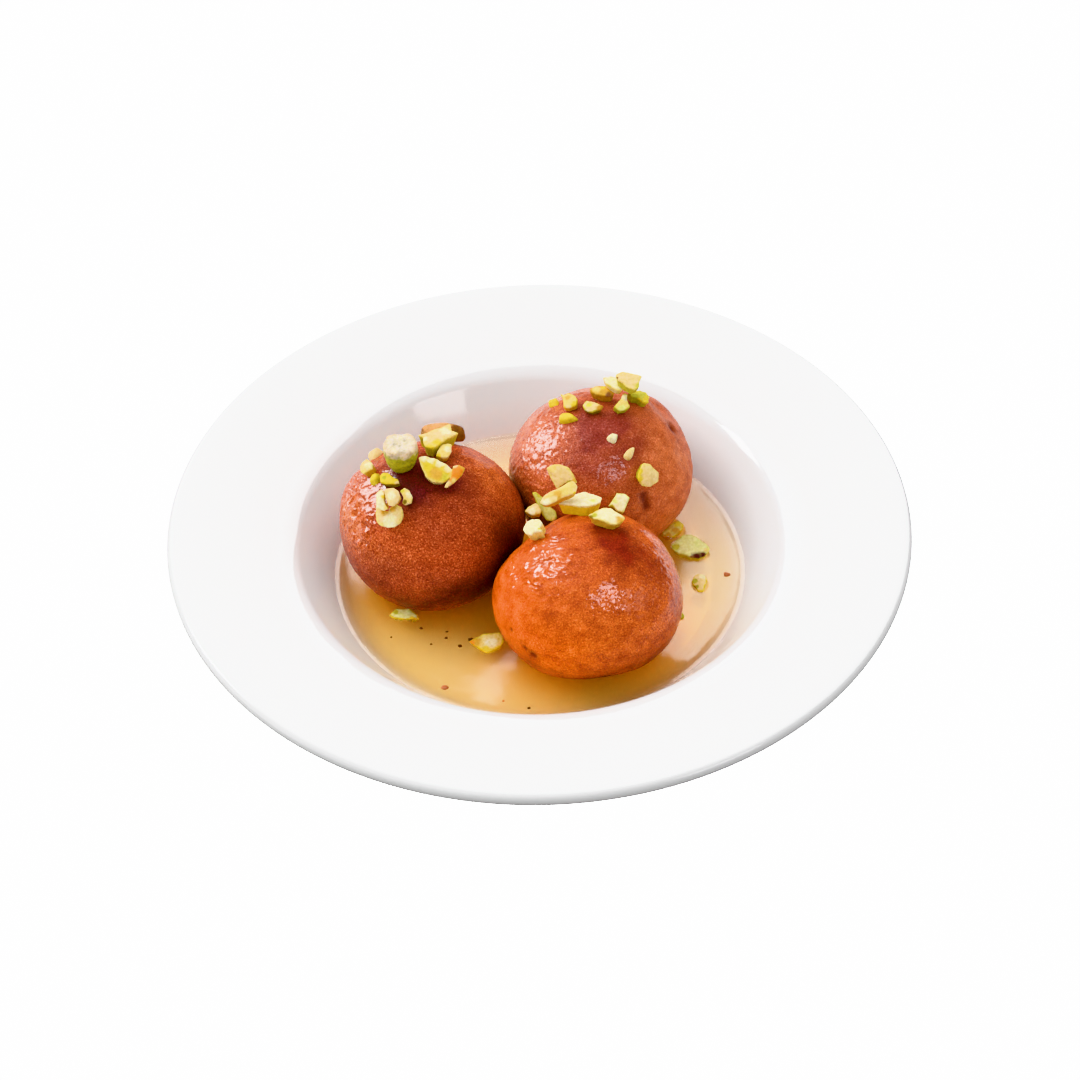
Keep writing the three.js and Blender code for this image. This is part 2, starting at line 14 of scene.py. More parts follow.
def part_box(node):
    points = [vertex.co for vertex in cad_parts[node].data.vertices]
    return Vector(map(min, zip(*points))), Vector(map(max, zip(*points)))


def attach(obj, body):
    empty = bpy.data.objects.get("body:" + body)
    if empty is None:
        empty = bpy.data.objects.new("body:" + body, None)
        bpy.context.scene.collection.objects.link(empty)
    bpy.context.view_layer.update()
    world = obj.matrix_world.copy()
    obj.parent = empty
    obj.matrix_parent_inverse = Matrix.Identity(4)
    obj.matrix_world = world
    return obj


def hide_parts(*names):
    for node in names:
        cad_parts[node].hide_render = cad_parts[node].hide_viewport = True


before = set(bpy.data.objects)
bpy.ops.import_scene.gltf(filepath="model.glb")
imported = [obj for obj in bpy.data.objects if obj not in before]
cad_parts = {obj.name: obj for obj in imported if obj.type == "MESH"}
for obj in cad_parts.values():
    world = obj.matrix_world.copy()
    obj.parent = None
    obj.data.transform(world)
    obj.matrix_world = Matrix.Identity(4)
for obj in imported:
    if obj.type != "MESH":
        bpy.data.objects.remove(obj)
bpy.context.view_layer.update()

MM = 0.001

# ---- sizes shared with the CAD

PLATE_RADIUS = 100.0
PLATE_HEIGHT = 32.0
LIP_RADIUS = 1.8
RIM_SLOPE = 10.0
RIM_INNER_RADIUS = 69.9
WALL_SLOPE = 52.0
SHOULDER_RADIUS = 8.6
WELL_FILLET = 8.6
FLOOR_Z = 5.75
WALL_THICKNESS = 3.7
FOOT_OUTER = 46.5
FOOT_INNER = 41.5
FOOT_HEIGHT = 2.0
FOOT_ROUNDING = 0.6

SYRUP_Z = 11.4
RESTING_GAP = 0.05
JAMUN_SEAT = 0.96

# A lump is [bearing, lean from the top, spread, height].
JAMUNS = {
    "front": {
        "at": (12.6, -24.0), "wide": 25.1, "tall": 19.6,
        "lumps": [[140, 62, 22, -1.2], [60, 52, 24, 1.1], [-160, 80, 26, 0.5], [0, 62, 24, 0.3],
                  [-42, 86, 22, -0.4], [-115, 88, 24, 0.5], [-75, 60, 20, -0.3],
                  [-82, 128, 24, -1.6]],
    },
    "left": {
        "at": (-28.8, 4.2), "wide": 25.2, "tall": 20.9,
        "lumps": [[158, 60, 28, 0.9], [60, 44, 26, -0.5], [-165, 88, 24, -0.3],
                  [-50, 80, 24, 0.7], [-110, 80, 24, -0.5], [10, 30, 18, 0.2]],
    },
    "back": {
        "at": (17.3, 24.6), "wide": 25.5, "tall": 21.3,
        "lumps": [[24, 48, 9, -0.9], [112, 50, 26, -1.0], [165, 64, 20, -0.4],
                  [40, 66, 18, 0.7], [-10, 64, 18, -0.4], [-35, 88, 20, 0.8],
                  [-100, 60, 26, 0.4], [-62, 72, 8, -0.4]],
    },
}

# ---- camera

CAMERA_DISTANCE = 761.9
CAMERA_ELEVATION = 44.04
CAMERA_ROLL = -1.43
CAMERA_TARGET = (0.16, -9.19, 32.0)
SENSOR_WIDTH = 36.0
LENS = 95.27
CAMERA_CLIP = 0.01, 50.0  # in metres

# ---- numbers on grids


def way(bearing, rise):
    """The unit vector at a bearing (from +X towards +Y) and a rise above the horizontal."""
    b, r = math.radians(bearing), math.radians(rise)
    return np.array([math.cos(r) * math.cos(b), math.cos(r) * math.sin(b), math.sin(r)])


def gradient_noise(points, seed):
    """Smooth noise in about -1..1 over points, with one cell for each unit."""
    rng = np.random.default_rng(seed)
    order = rng.permutation(256)
    slopes = rng.normal(size=(256, 3))
    slopes /= np.linalg.norm(slopes, axis=1)[:, None]
    cell = np.floor(points).astype(int)
    local = points - cell
    fade = local ** 3 * (local * (local * 6 - 15) + 10)
    total = np.zeros(len(points))
    for corner in np.ndindex(2, 2, 2):
        at = (cell + corner) & 255
        slope = slopes[order[(order[(order[at[:, 0]] + at[:, 1]) & 255] + at[:, 2]) & 255]]
        share = np.prod(np.where(corner, fade, 1 - fade), axis=1)
        total += share * np.einsum("ij,ij->i", slope, local - corner)
    return total * 1.6


def fractal(points, size, octaves, seed):
    """Noise whose largest bumps are about `size` across, with finer ones on top."""
    total = np.zeros(len(points))
    for i in range(octaves):
        total += gradient_noise(points * (2 ** i / size), seed + i) * 0.5 ** i
    return total


def shifts(points, size, octaves, height, seeds):
    """How far noise with bumps of a size moves each point, along X, Y and Z."""
    return np.stack([fractal(points, size, octaves, seed) for seed in seeds], -1) * height


def linear(red, green, blue):
    """Scene-linear colour of an 8-bit display colour."""
    shares = np.array([red, green, blue]) / 255
    return np.where(shares <= 0.04045, shares / 12.92, ((shares + 0.055) / 1.055) ** 2.4)


def mixed(first, second, share):
    """Colours first and second, (3,) or (n, 3), mixed by a share for each point."""
    return first * (1 - share[:, None]) + second * share[:, None]


def smooth(value, low, high):
    """An eased step from 0 at low to 1 at high."""
    t = np.clip((value - low) / (high - low), 0, 1)
    return t * t * (3 - 2 * t)


# ---- meshes


def cube_sphere(cells):
    """Unit directions, and quads over them, of a cube of cells x cells sides blown up round."""
    i, j = np.meshgrid(np.arange(cells + 1), np.arange(cells + 1), indexing="ij")
    low = np.zeros_like(i)
    high = np.full_like(i, cells)
    sides = [(i, j, high), (j, i, low), (high, i, j), (low, j, i), (j, high, i), (i, low, j)]
    corners = np.stack([np.stack(side, -1) for side in sides])
    unique, index = np.unique(corners.reshape(-1, 3), axis=0, return_inverse=True)
    index = index.reshape(6, cells + 1, cells + 1)
    quads = np.stack([index[:, :-1, :-1], index[:, 1:, :-1], index[:, 1:, 1:], index[:, :-1, 1:]], -1)
    around = np.tan((unique / cells * 2 - 1) * math.pi / 4)
    return around / np.linalg.norm(around, axis=1)[:, None], quads.reshape(-1, 4)


def add_mesh(name, points, faces, material, colours=None, **layers):
    """A smooth-shaded object from points in millimetres, with a layer of numbers for each name."""
    mesh = bpy.data.meshes.new(name)
    mesh.from_pydata((np.asarray(points) * MM).tolist(), [], [list(map(int, f)) for f in faces])
    mesh.shade_smooth()
    mesh.materials.append(material)
    if colours is not None:
        layer = mesh.color_attributes.new("tint", "FLOAT_COLOR", "POINT")
        opaque = np.column_stack([colours, np.ones(len(colours))])
        layer.data.foreach_set("color", opaque.astype(np.float32).ravel())
    for key, values in layers.items():
        layer = mesh.attributes.new(key, "FLOAT", "POINT")
        layer.data.foreach_set("value", np.asarray(values, np.float32))
    mesh.update()
    piece = bpy.data.objects.new(name, mesh)
    bpy.context.scene.collection.objects.link(piece)
    return piece


def joined(parts):
    """One set of points and faces from several."""
    points, faces, start = [], [], 0
    for some_points, some_faces in parts:
        points.append(some_points)
        faces.append(np.asarray(some_faces) + start)
        start += len(some_points)
    return np.concatenate(points), np.concatenate(faces)


def loft_faces(rows, around):
    """Faces over rows of `around` points each, closed by two points that come after them all."""
    index = np.arange(rows * around).reshape(rows, around)
    after = np.roll(index, -1, axis=1)
    faces = np.stack([index[:-1], index[1:], after[1:], after[:-1]], -1).reshape(-1, 4).tolist()
    first, last = index.size, index.size + 1
    faces += [[first, index[0][k], after[0][k]] for k in range(around)]
    faces += [[last, after[-1][k], index[-1][k]] for k in range(around)]
    return faces


def turned(profile, segments):
    """Points and faces of a profile of (radius, height) swept about +Z, ends on the axis."""
    profile = np.asarray(profile)
    angles = np.arange(segments) * (2 * math.pi / segments)
    inner = profile[1:-1]
    ring = np.stack([np.cos(angles), np.sin(angles)], -1)
    points = np.concatenate([
        inner[:, None, :1] * ring[None],
        np.broadcast_to(inner[:, None, 1:], (len(inner), segments, 1))], -1).reshape(-1, 3)
    ends = [[0, 0, profile[0][1]], [0, 0, profile[-1][1]]]
    faces = [[face[0], *face[:0:-1]] for face in loft_faces(len(inner), segments)]
    return np.concatenate([points, ends]), faces


def arc(r, z, radius, start, end, steps):
    """Points of a profile along an arc about (r, z)."""
    angles = np.radians(np.linspace(start, end, steps + 1))
    return [(r + radius * math.cos(a), z + radius * math.sin(a)) for a in angles]


# ---- materials


class Nodes:
    """A node tree that is written top down: each call adds one node and returns its output."""

    def __init__(self, tree):
        self.tree = tree

    def put(self, socket, value):
        if isinstance(value, bpy.types.NodeSocket):
            self.tree.links.new(value, socket)
        else:
            socket.default_value = (*value, 1.0) if socket.type == "RGBA" else value

    def node(self, kind, output=0, numbered=(), **named):
        """A node's output. What is named is one of its properties, or else one of its inputs."""
        made = self.tree.nodes.new(kind)
        for key, value in named.items():
            if hasattr(made, key):
                setattr(made, key, value)
            else:
                self.put(made.inputs[key.replace("_", " ")], value)
        for number, value in numbered:
            self.put(made.inputs[number], value)
        return made.outputs[output]

    def noise(self, size, detail=2.0, roughness=0.5, distortion=0.0):
        """Noise with bumps of about `size` millimetres."""
        place = self.node("ShaderNodeTexCoord", "Object")
        return self.node("ShaderNodeTexNoise", Vector=place, Scale=1 / (size * MM),
                         Detail=detail, Roughness=roughness, Distortion=distortion)

    def ramp(self, value, low, high, out_low=0.0, out_high=1.0):
        return self.node("ShaderNodeMapRange", Value=value, From_Min=low, From_Max=high,
                         To_Min=out_low, To_Max=out_high)

    def math(self, operation, *values):
        return self.node("ShaderNodeMath", 0, enumerate(values), operation=operation)

    def mix(self, share, first, second, blend="MIX"):
        return self.node("ShaderNodeMix", 2, [(0, share), (6, first), (7, second)],
                         data_type="RGBA", blend_type=blend)

    def stained(self, share, colour, stain):
        """The colour, multiplied by the stain as far as the share says."""
        return self.mix(share, colour, self.mix(1.0, colour, stain, blend="MULTIPLY"))

    def layer(self, name, output="Fac"):
        return self.node("ShaderNodeAttribute", output, attribute_name=name)

    def bump(self, height, depth, strength=1.0):
        """Relief of `depth` millimetres for a height of 0..1."""
        return self.node("ShaderNodeBump", Height=height, Distance=depth * MM, Strength=strength)


class Shader(Nodes):
    """The nodes of a new material, round its Principled BSDF."""

    def __init__(self, name):
        self.material = bpy.data.materials.new(name)
        self.material.use_nodes = True
        super().__init__(self.material.node_tree)
        self.principled = self.tree.nodes["Principled BSDF"]

    def set(self, **values):
        for key, value in values.items():
            self.put(self.principled.inputs[key.replace("_", " ")], value)


# The glaze is one white. The well's is painted lighter and bluer than the rim's to offset its shade and
# the dumplings' orange bounce light, and under the syrup it is painted lighter still.
RIM_WHITES = (0.72, 0.722, 0.722), (0.745, 0.747, 0.747)
WELL_WHITE_PAINTED_LIGHTER = (0.81, 0.875, 0.90)
DROWNED_WHITE_PAINTED_LIGHTER = (0.88, 0.865, 0.84)  # of the well, under the syrup, painted lighter still to offset the shade there
BARE_CLAY = (0.72, 0.70, 0.66)


def porcelain_material():
    shader = Shader("porcelain glaze")
    bare = shader.layer("bare")
    rim = shader.mix(shader.noise(40), *RIM_WHITES)
    # Painted light: the well's white, and more so the white under the syrup, is lighter than the rim's.
    painted_lighter_well = shader.mix(shader.layer("well"), rim, WELL_WHITE_PAINTED_LIGHTER)
    white = shader.mix(shader.layer("drowned"), painted_lighter_well, DROWNED_WHITE_PAINTED_LIGHTER)
    shader.set(Base_Color=shader.mix(bare, white, BARE_CLAY), IOR=1.5,
               Roughness=shader.ramp(bare, 0, 1, 0.07, 0.7),
               Normal=shader.bump(shader.noise(14, detail=1.0), 0.03, 0.5))
    return shader.material


# What multiplies the tint of a skin or a nut.
DARK_GRAIN = (0.62, 0.42, 0.34)
LIGHT_GRAIN = (1.55, 1.95, 2.2)
CRUMB_SHADE = (0.80, 0.66, 0.60)
# The golden speck is a painted glint on the skin's grain.
PAINTED_GLINT = (1.6, 2.15, 2.7)
NUT_SHADE = (0.87, 0.86, 0.66)
NUT_VEIN = (0.80, 0.90, 0.50)

SKIN_DEPTH = 1.2 * MM  # how deep light goes into a skin or a nut


def jamun_material(name, grain, contrast, shine):
    """Fried skin: fine golden and dark grain over the tint, with painted glints as golden specks, wet
    with syrup.
    """
    shader = Shader(name)
    fine = shader.noise(0.5, detail=3.0, roughness=0.8)
    crumbs = shader.noise(1.0, detail=3.0, roughness=0.6)
    specks = shader.noise(0.46, detail=1.0)
    amount = shader.ramp(shader.layer("granular"), 0, 1, contrast * 0.5, contrast)

    def share(grains, low, high):
        return shader.math("MULTIPLY", shader.ramp(grains, low, high), amount)

    grained = shader.stained(share(fine, 0.51, 0.34), shader.layer("tint", "Color"), DARK_GRAIN)
    grained = shader.stained(share(fine, 0.52, 0.68), grained, LIGHT_GRAIN)
    mottled = shader.stained(share(crumbs, 0.50, 0.34), grained, CRUMB_SHADE)
    # Golden specks painted in as glints of light.
    glinted = shader.mix(1.0, grained, PAINTED_GLINT, blend="MULTIPLY")
    height = shader.math("ADD", fine, shader.math("MULTIPLY", crumbs, 0.8))
    shader.set(Base_Color=shader.mix(share(specks, 0.57, 0.65), mottled, glinted),
               IOR=1.45, Roughness=0.5, Specular_IOR_Level=0.12,
               Normal=shader.bump(height, grain * 1.5),
               Coat_Weight=shader.ramp(shader.layer("gloss"), 0, 1, shine * 0.15, shine),
               Coat_Roughness=0.05, Coat_IOR=1.45,
               Coat_Normal=shader.bump(shader.noise(1.25), grain * 2.8),
               Subsurface_Weight=0.06, Subsurface_Radius=(1.0, 0.25, 0.06),
               Subsurface_Scale=SKIN_DEPTH)
    return shader.material


def nut_material():
    """Chopped pistachio: fine veins and grain over the tint."""
    shader = Shader("pistachio")
    grain = shader.noise(0.7, detail=3.0, roughness=0.6)
    vein = shader.noise(2.2, distortion=1.4)
    shaded = shader.stained(shader.ramp(grain, 0.62, 0.40), shader.layer("tint", "Color"), NUT_SHADE)
    veined = shader.stained(shader.ramp(vein, 0.56, 0.72, 0.0, 0.35), shaded, NUT_VEIN)
    shader.set(Base_Color=veined, IOR=1.45, Roughness=shader.ramp(grain, 0.3, 0.7, 0.48, 0.62),
               Normal=shader.bump(grain, 0.07, 0.8), Coat_Weight=0.15, Coat_Roughness=0.25,
               Subsurface_Weight=0.25, Subsurface_Radius=(0.9, 0.8, 0.35),
               Subsurface_Scale=SKIN_DEPTH)
    return shader.material


SYRUP_REACH = 98.0  # absorption of blue, for each metre
SYRUP_TINT = (0.988, 0.760, 0.04)
SYRUP_SHADE = (0.92, 0.40, 0.05)  # painted shadow: darker, more orange syrup near the dumplings, for their shade and bounce light


def syrup_material():
    """Clear amber syrup: glass with absorption, which lets lamps and bounced light through."""
    shader = Shader("syrup")
    # The tint is painted shadow near the dumplings: darker and more orange where their shade falls.
    shader.set(Base_Color=shader.mix(shader.layer("deep"), (1, 1, 1), SYRUP_SHADE), IOR=1.44,
               Transmission_Weight=1.0, Roughness=0.18,
               Normal=shader.bump(shader.noise(8.0, detail=1.0), 0.4))
    through = shader.math("MAXIMUM", shader.node("ShaderNodeLightPath", "Is Shadow Ray"),
                          shader.node("ShaderNodeLightPath", "Is Diffuse Ray"))
    clear = shader.node("ShaderNodeBsdfTransparent")
    surface = enumerate([through, shader.principled.outputs[0], clear])
    out = shader.tree.nodes["Material Output"].inputs
    shader.put(out["Surface"], shader.node("ShaderNodeMixShader", 0, surface))
    shader.put(out["Volume"], shader.node(
        "ShaderNodeVolumeAbsorption", Color=SYRUP_TINT, Density=SYRUP_REACH))
    return shader.material


# ---- plate

rim_tilt, wall_tilt = math.radians(RIM_SLOPE), math.radians(WALL_SLOPE)
rim_top_z = PLATE_HEIGHT - LIP_RADIUS + LIP_RADIUS * math.cos(rim_tilt)
lip_top_r = PLATE_RADIUS - LIP_RADIUS - LIP_RADIUS * math.sin(rim_tilt)
rim_inner_z = rim_top_z - (lip_top_r - RIM_INNER_RADIUS) * math.tan(rim_tilt)
shoulder_r = RIM_INNER_RADIUS + SHOULDER_RADIUS * math.sin(rim_tilt)
shoulder_z = rim_inner_z - SHOULDER_RADIUS * math.cos(rim_tilt)
wall_top_r = shoulder_r - SHOULDER_RADIUS * math.sin(wall_tilt)
wall_top_z = shoulder_z + SHOULDER_RADIUS * math.cos(wall_tilt)
wall_bottom_z = FLOOR_Z + WELL_FILLET * (1 - math.cos(wall_tilt))
wall_bottom_r = wall_top_r - (wall_top_z - wall_bottom_z) / math.tan(wall_tilt)
fillet_r = wall_bottom_r - WELL_FILLET * math.sin(wall_tilt)
fillet_z = FLOOR_Z + WELL_FILLET

PLATE_SEGMENTS = 256


def straight(start, end, steps):
    """Points between two of a profile, without its ends."""
    return [tuple(np.array(start) + (np.array(end) - start) * k / steps) for k in range(1, steps)]


def plate_profile():
    foot = FOOT_ROUNDING
    under_fillet = WELL_FILLET + WALL_THICKNESS
    under_shoulder = SHOULDER_RADIUS - WALL_THICKNESS
    foot_angle = 270 + math.degrees(math.asin((FOOT_OUTER - fillet_r) / under_fillet))
    under = arc(fillet_r, fillet_z, under_fillet, foot_angle, 270 + WALL_SLOPE, 12)
    bend = arc(shoulder_r, shoulder_z, under_shoulder, 90 + WALL_SLOPE, 90 + RIM_SLOPE, 8)
    lip = arc(PLATE_RADIUS - LIP_RADIUS, PLATE_HEIGHT - LIP_RADIUS, LIP_RADIUS,
              RIM_SLOPE - 90, RIM_SLOPE + 90, 14)
    top = arc(shoulder_r, shoulder_z, SHOULDER_RADIUS, 90 + RIM_SLOPE, 90 + WALL_SLOPE, 14)
    well = arc(fillet_r, fillet_z, WELL_FILLET, 270 + WALL_SLOPE, 270, 14)
    return [
        (0, FOOT_HEIGHT), *straight((0, FOOT_HEIGHT), (FOOT_INNER, FOOT_HEIGHT), 6),
        (FOOT_INNER, FOOT_HEIGHT),
        *arc(FOOT_INNER + foot, foot, foot, 180, 270, 5),
        *arc(FOOT_OUTER - foot, foot, foot, 270, 360, 5),
        *under, *straight(under[-1], bend[0], 5),
        *bend, *straight(bend[-1], lip[0], 6),
        *lip, *straight(lip[-1], top[0], 8),
        *top, *straight(top[-1], well[0], 5),
        *well, *straight(well[-1], (0, FLOOR_Z), 10), (0, FLOOR_Z),
    ]


BARE_FOOT = 0.35  # height up to which the foot ring is unglazed
RIM_TONE, WELL_TONE = 72, 62  # radii between which the rim's white turns into the well's, painted lighter and bluer


def make_plate():
    points, faces = turned(plate_profile(), PLATE_SEGMENTS)
    bare = smooth(points[:, 2], BARE_FOOT + 0.2, BARE_FOOT)
    # Where the glaze is painted lighter to offset the shade: in the well, and more under the syrup.
    well = smooth(np.hypot(points[:, 0], points[:, 1]), RIM_TONE, WELL_TONE)
    drowned = well * smooth(points[:, 2], SYRUP_Z + 1.5, SYRUP_Z - 0.5)
    piece = add_mesh("soup_plate", points, faces, porcelain_material(),
                     bare=bare, well=well, drowned=drowned)
    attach(piece, "root")
    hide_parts("plate")


# ---- dumplings

CONTACT_GAP = 0.06
HELD_BACK = 1.5  # no relief nearer than this to what a dumpling touches
JAMUN_CELLS = 112
PIT_COLOUR = linear(96, 26, 18)
WRINKLE_STRETCH = np.array([0.55, 1.0, 1.25])  # less than 1 draws noise out that way, here X
PATCH_STRETCH = np.array([0.8, 1.0, 1.3])
PATCH_HUE = np.array([1.0, 1.5, 1.6])  # a dark patch loses more green and blue than red

# Where a skin is wrinkled, blistered, dark, orange or pitted, and where shade is painted on it:
# [bearing, lean, spread, strength]. Its dark spots are the skin's own darker frying near the top
# and painted shade low on its underside; its deepest spots are painted shade in the clefts
# between the dumplings and under them. The depth of its grain in millimetres, the contrast of
# that grain and its shine are the shader's; its wide tone is how far its colour changes from
# patch to patch.
SKINS = {
    "front": {
        "base": linear(206, 97, 44), "dark": linear(134, 38, 18), "light": linear(230, 102, 10),
        "deep": linear(84, 10, 2),
        "seed": 11, "wide_tone": 0.27, "grain": 0.07, "contrast": 0.6, "shine": 0.95,
        "wrinkles": [[-160, 34, 24, 1.0], [172, 22, 16, 0.8], [-171, 52, 15, 0.8]],
        "blisters": [[-68, 44, 14, 1.0], [5, 30, 18, 0.6], [-11, 62, 22, 0.6]],
        "dark_and_shade_spots": [[59, 16, 15, 0.8], [2, 21, 17, 0.9], [-19, 41, 15, 0.5], [-70, 27, 13, 0.35],
                  [-20, 80, 26, 0.3], [-120, 58, 11, 0.25], [-86, 118, 22, 0.8], [-130, 112, 20, 0.5],
                  [-50, 112, 20, 0.6]],
        "deeps": [[146, 90, 20, 0.9], [84, 80, 22, 0.9], [-84, 132, 14, 0.9]],
        "lights": [[177, 66, 26, 0.9], [-157, 70, 24, 1.0], [-120, 86, 24, 0.6], [-96, 84, 20, 0.4]],
        "granular": [[-10, 50, 50, 0.8], [-60, 60, 40, 0.6], [60, 30, 60, 0.7], [-115, 76, 34, 0.6]],
        "glossy": [[-168, 36, 26, 1.0], [-74, 44, 20, 1.0], [-8, 62, 30, 0.9], [20, 40, 36, 0.6]],
        "pits": [[-126, 90, 3.2, 0.6], [-145, 80, 1.7, 0.3], [-132, 87, 1.8, 0.3]],
    },
    "left": {
        "base": linear(188, 85, 49), "dark": linear(100, 34, 31), "light": linear(206, 106, 52),
        "deep": linear(66, 6, 2),
        "seed": 23, "wide_tone": 0.20, "grain": 0.08, "contrast": 0.9, "shine": 0.9,
        "wrinkles": [[-179, 66, 18, 0.9], [-150, 58, 16, 1.0], [-143, 74, 12, 0.5],
                     [165, 50, 22, 0.6]],
        "blisters": [[-178, 45, 24, 0.5], [150, 40, 30, 0.5]],
        "dark_and_shade_spots": [[-168, 7, 24, 0.8], [-125, 20, 17, 0.8], [-53, 21, 20, 0.5],
                  [-40, 96, 26, 0.6], [-74, 96, 16, 0.5], [-100, 110, 24, 0.7], [-150, 104, 20, 0.5],
                  [-118, 84, 20, 0.3], [-80, 48, 11, 0.25]],
        "deeps": [[-30, 86, 26, 1.0], [24, 84, 20, 0.9], [-62, 100, 18, 0.8], [-34, 62, 16, 0.35]],
        "lights": [[-112, 72, 22, 0.1], [-132, 74, 18, 0.15], [-168, 64, 22, 0.9],
                   [12, 40, 18, 0.7]],
        "granular": [[-70, 50, 66, 1.0], [20, 40, 60, 0.9], [-130, 70, 40, 0.6]],
        "glossy": [[-168, 66, 36, 1.0], [172, 45, 30, 1.0], [0, 36, 34, 0.4], [-60, 44, 30, 0.3]],
        "pits": [],
    },
    "back": {
        "base": linear(197, 101, 65), "dark": linear(146, 66, 54), "light": linear(208, 112, 68),
        "deep": linear(84, 8, 2),
        "seed": 37, "wide_tone": 0.20, "grain": 0.08, "contrast": 0.7, "shine": 0.95,
        "wrinkles": [[-148, 64, 20, 0.5]],
        "blisters": [[175, 58, 30, 1.0], [-147, 50, 24, 1.0], [-151, 66, 20, 0.8],
                     [150, 44, 24, 0.9], [-80, 66, 14, 0.5]],
        "dark_and_shade_spots": [[-92, 8, 22, 0.9], [-76, 27, 20, 0.9], [-83, 58, 17, 0.2], [-112, 42, 12, 0.3],
                  [-130, 86, 18, 0.4]],
        "deeps": [[-156, 92, 18, 1.0], [-97, 96, 16, 1.0], [-124, 88, 12, 0.5]],
        "lights": [[-28, 41, 22, 0.7], [-59, 80, 22, 0.8], [-148, 78, 16, 0.8],
                   [-19, 75, 24, 0.6], [175, 50, 24, 0.5]],
        "granular": [[-120, 50, 50, 0.7], [175, 60, 50, 0.8]],
        "glossy": [[178, 54, 34, 1.0], [150, 36, 28, 0.8], [-152, 60, 24, 0.8], [-66, 47, 22, 0.8]],
        "pits": [[6, 53, 4.2, 0.9], [-62, 66, 3.0, 0.5], [-61, 71, 3.0, 0.5], [-61, 76, 2.6, 0.35]],
    },
}


def middle_of(name):
    jamun = JAMUNS[name]
    return np.array([*jamun["at"], FLOOR_Z + RESTING_GAP + JAMUN_SEAT * jamun["tall"]])


def contact_planes(name):
    """Where a dumpling is flattened against the others: [direction, distance]."""
    own = JAMUNS[name]
    planes = []
    for other, jamun in JAMUNS.items():
        if other != name:
            across = np.array([*jamun["at"], 0.0]) - np.array([*own["at"], 0.0])
            length = np.linalg.norm(across)
            share = own["wide"] / (own["wide"] + jamun["wide"])
            planes.append((across / length, length * share - CONTACT_GAP / 2))
    return planes


def swelling(directions, rows):
    """The sum, in each direction, of the rounds [bearing, lean, spread, height]."""
    total = np.zeros(len(directions))
    for bearing, lean, spread, height in rows:
        angle = np.arccos(np.clip(directions @ way(bearing, 90 - lean), -1, 1))
        total += height * np.exp(-(angle / math.radians(spread)) ** 2)
    return total


def blot(directions, spots):
    """How much each direction lies in spots of [bearing, lean, spread, strength], 0..1."""
    return np.clip(swelling(directions, spots), 0, 1)


def jamun_points(name, directions):
    """Points of a dumpling's skin about its middle."""
    jamun = JAMUNS[name]
    swell = swelling(directions, jamun["lumps"])
    points = directions * (np.array([jamun["wide"], jamun["wide"], jamun["tall"]]) + swell[:, None])
    for normal, distance in contact_planes(name):
        past = np.maximum(points @ normal - distance, 0)
        points -= past[:, None] * normal
    points[:, 2] = np.maximum(points[:, 2], -JAMUN_SEAT * jamun["tall"])
    return points


def skin_relief(directions, points, skin):
    """Millimetres that the skin stands out, from its broad unevenness down to its pores."""
    seed = skin["seed"]
    broad = fractal(points, 16, 2, seed) * 0.30
    dimples = fractal(points, 4.2, 2, seed + 5) * 0.15
    warped = points + shifts(points, 6, 2, 2.2, (seed + 10, seed + 13, seed + 16))
    stretched = warped * WRINKLE_STRETCH
    folds = 1 - np.abs(gradient_noise(stretched / 2.2, seed + 20)) * 2
    fine_folds = 1 - np.abs(gradient_noise(stretched / 1.15, seed + 21)) * 2
    wrinkles = blot(directions, skin["wrinkles"]) * (0.42 * folds + 0.08 * fine_folds)
    bubbles = gradient_noise(points / 1.25, seed + 30)
    small = gradient_noise(points / 0.75, seed + 31)
    blisters = blot(directions, skin["blisters"]) * (0.14 * bubbles + 0.05 * small)
    pores = 0.012 * small + 0.03 * gradient_noise(points / 1.9, seed + 32)
    return broad + dimples + wrinkles + blisters + pores - swelling(directions, skin["pits"])


def skin_tint(directions, points, skin):
    seed = skin["seed"]
    uneven = fractal(points, 9, 3, seed + 40)
    # Dark spots: the skin's own darker frying near the top, and painted shade low on the underside.
    dark = np.clip(blot(directions, skin["dark_and_shade_spots"]) * (1 + 0.6 * uneven), 0, 1)
    light = np.clip(blot(directions, skin["lights"]) * (1 + 0.4 * uneven), 0, 1)
    tint = mixed(skin["base"], skin["light"], light)
    tint = mixed(tint, skin["dark"], dark)
    # Painted shade in the clefts between the dumplings and under them, in the darkest colour.
    tint = mixed(tint, skin["deep"], blot(directions, skin["deeps"]))
    patches = fractal(points * PATCH_STRETCH, 3.6, 4, seed + 50)
    tint = tint * (1 + skin["wide_tone"] * patches[:, None] * PATCH_HUE)
    pit = blot(directions, [[b, l, s * 1.1, 1.0] for b, l, s, _ in skin["pits"]])
    return np.clip(mixed(tint, PIT_COLOUR, pit * 0.8), 0, 1)


def make_jamun(name, skin):
    directions, quads = cube_sphere(JAMUN_CELLS)
    base = jamun_points(name, directions)
    held = np.ones(len(base))
    for normal, distance in contact_planes(name):
        held *= smooth(distance - base @ normal, 0.0, HELD_BACK)
    held *= smooth(base[:, 2] + JAMUN_SEAT * JAMUNS[name]["tall"], 0.0, HELD_BACK)
    relief = skin_relief(directions, base, skin) * held
    points = base + directions * relief[:, None] + middle_of(name)
    material = jamun_material(f"fried skin {name}", skin["grain"], skin["contrast"], skin["shine"])
    piece = add_mesh(
        f"dumpling_{name}", points, quads, material, skin_tint(directions, base, skin),
        granular=blot(directions, skin["granular"]), gloss=blot(directions, skin["glossy"]))
    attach(piece, "root")
    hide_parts(f"jamun_{name}")


# ---- pistachio

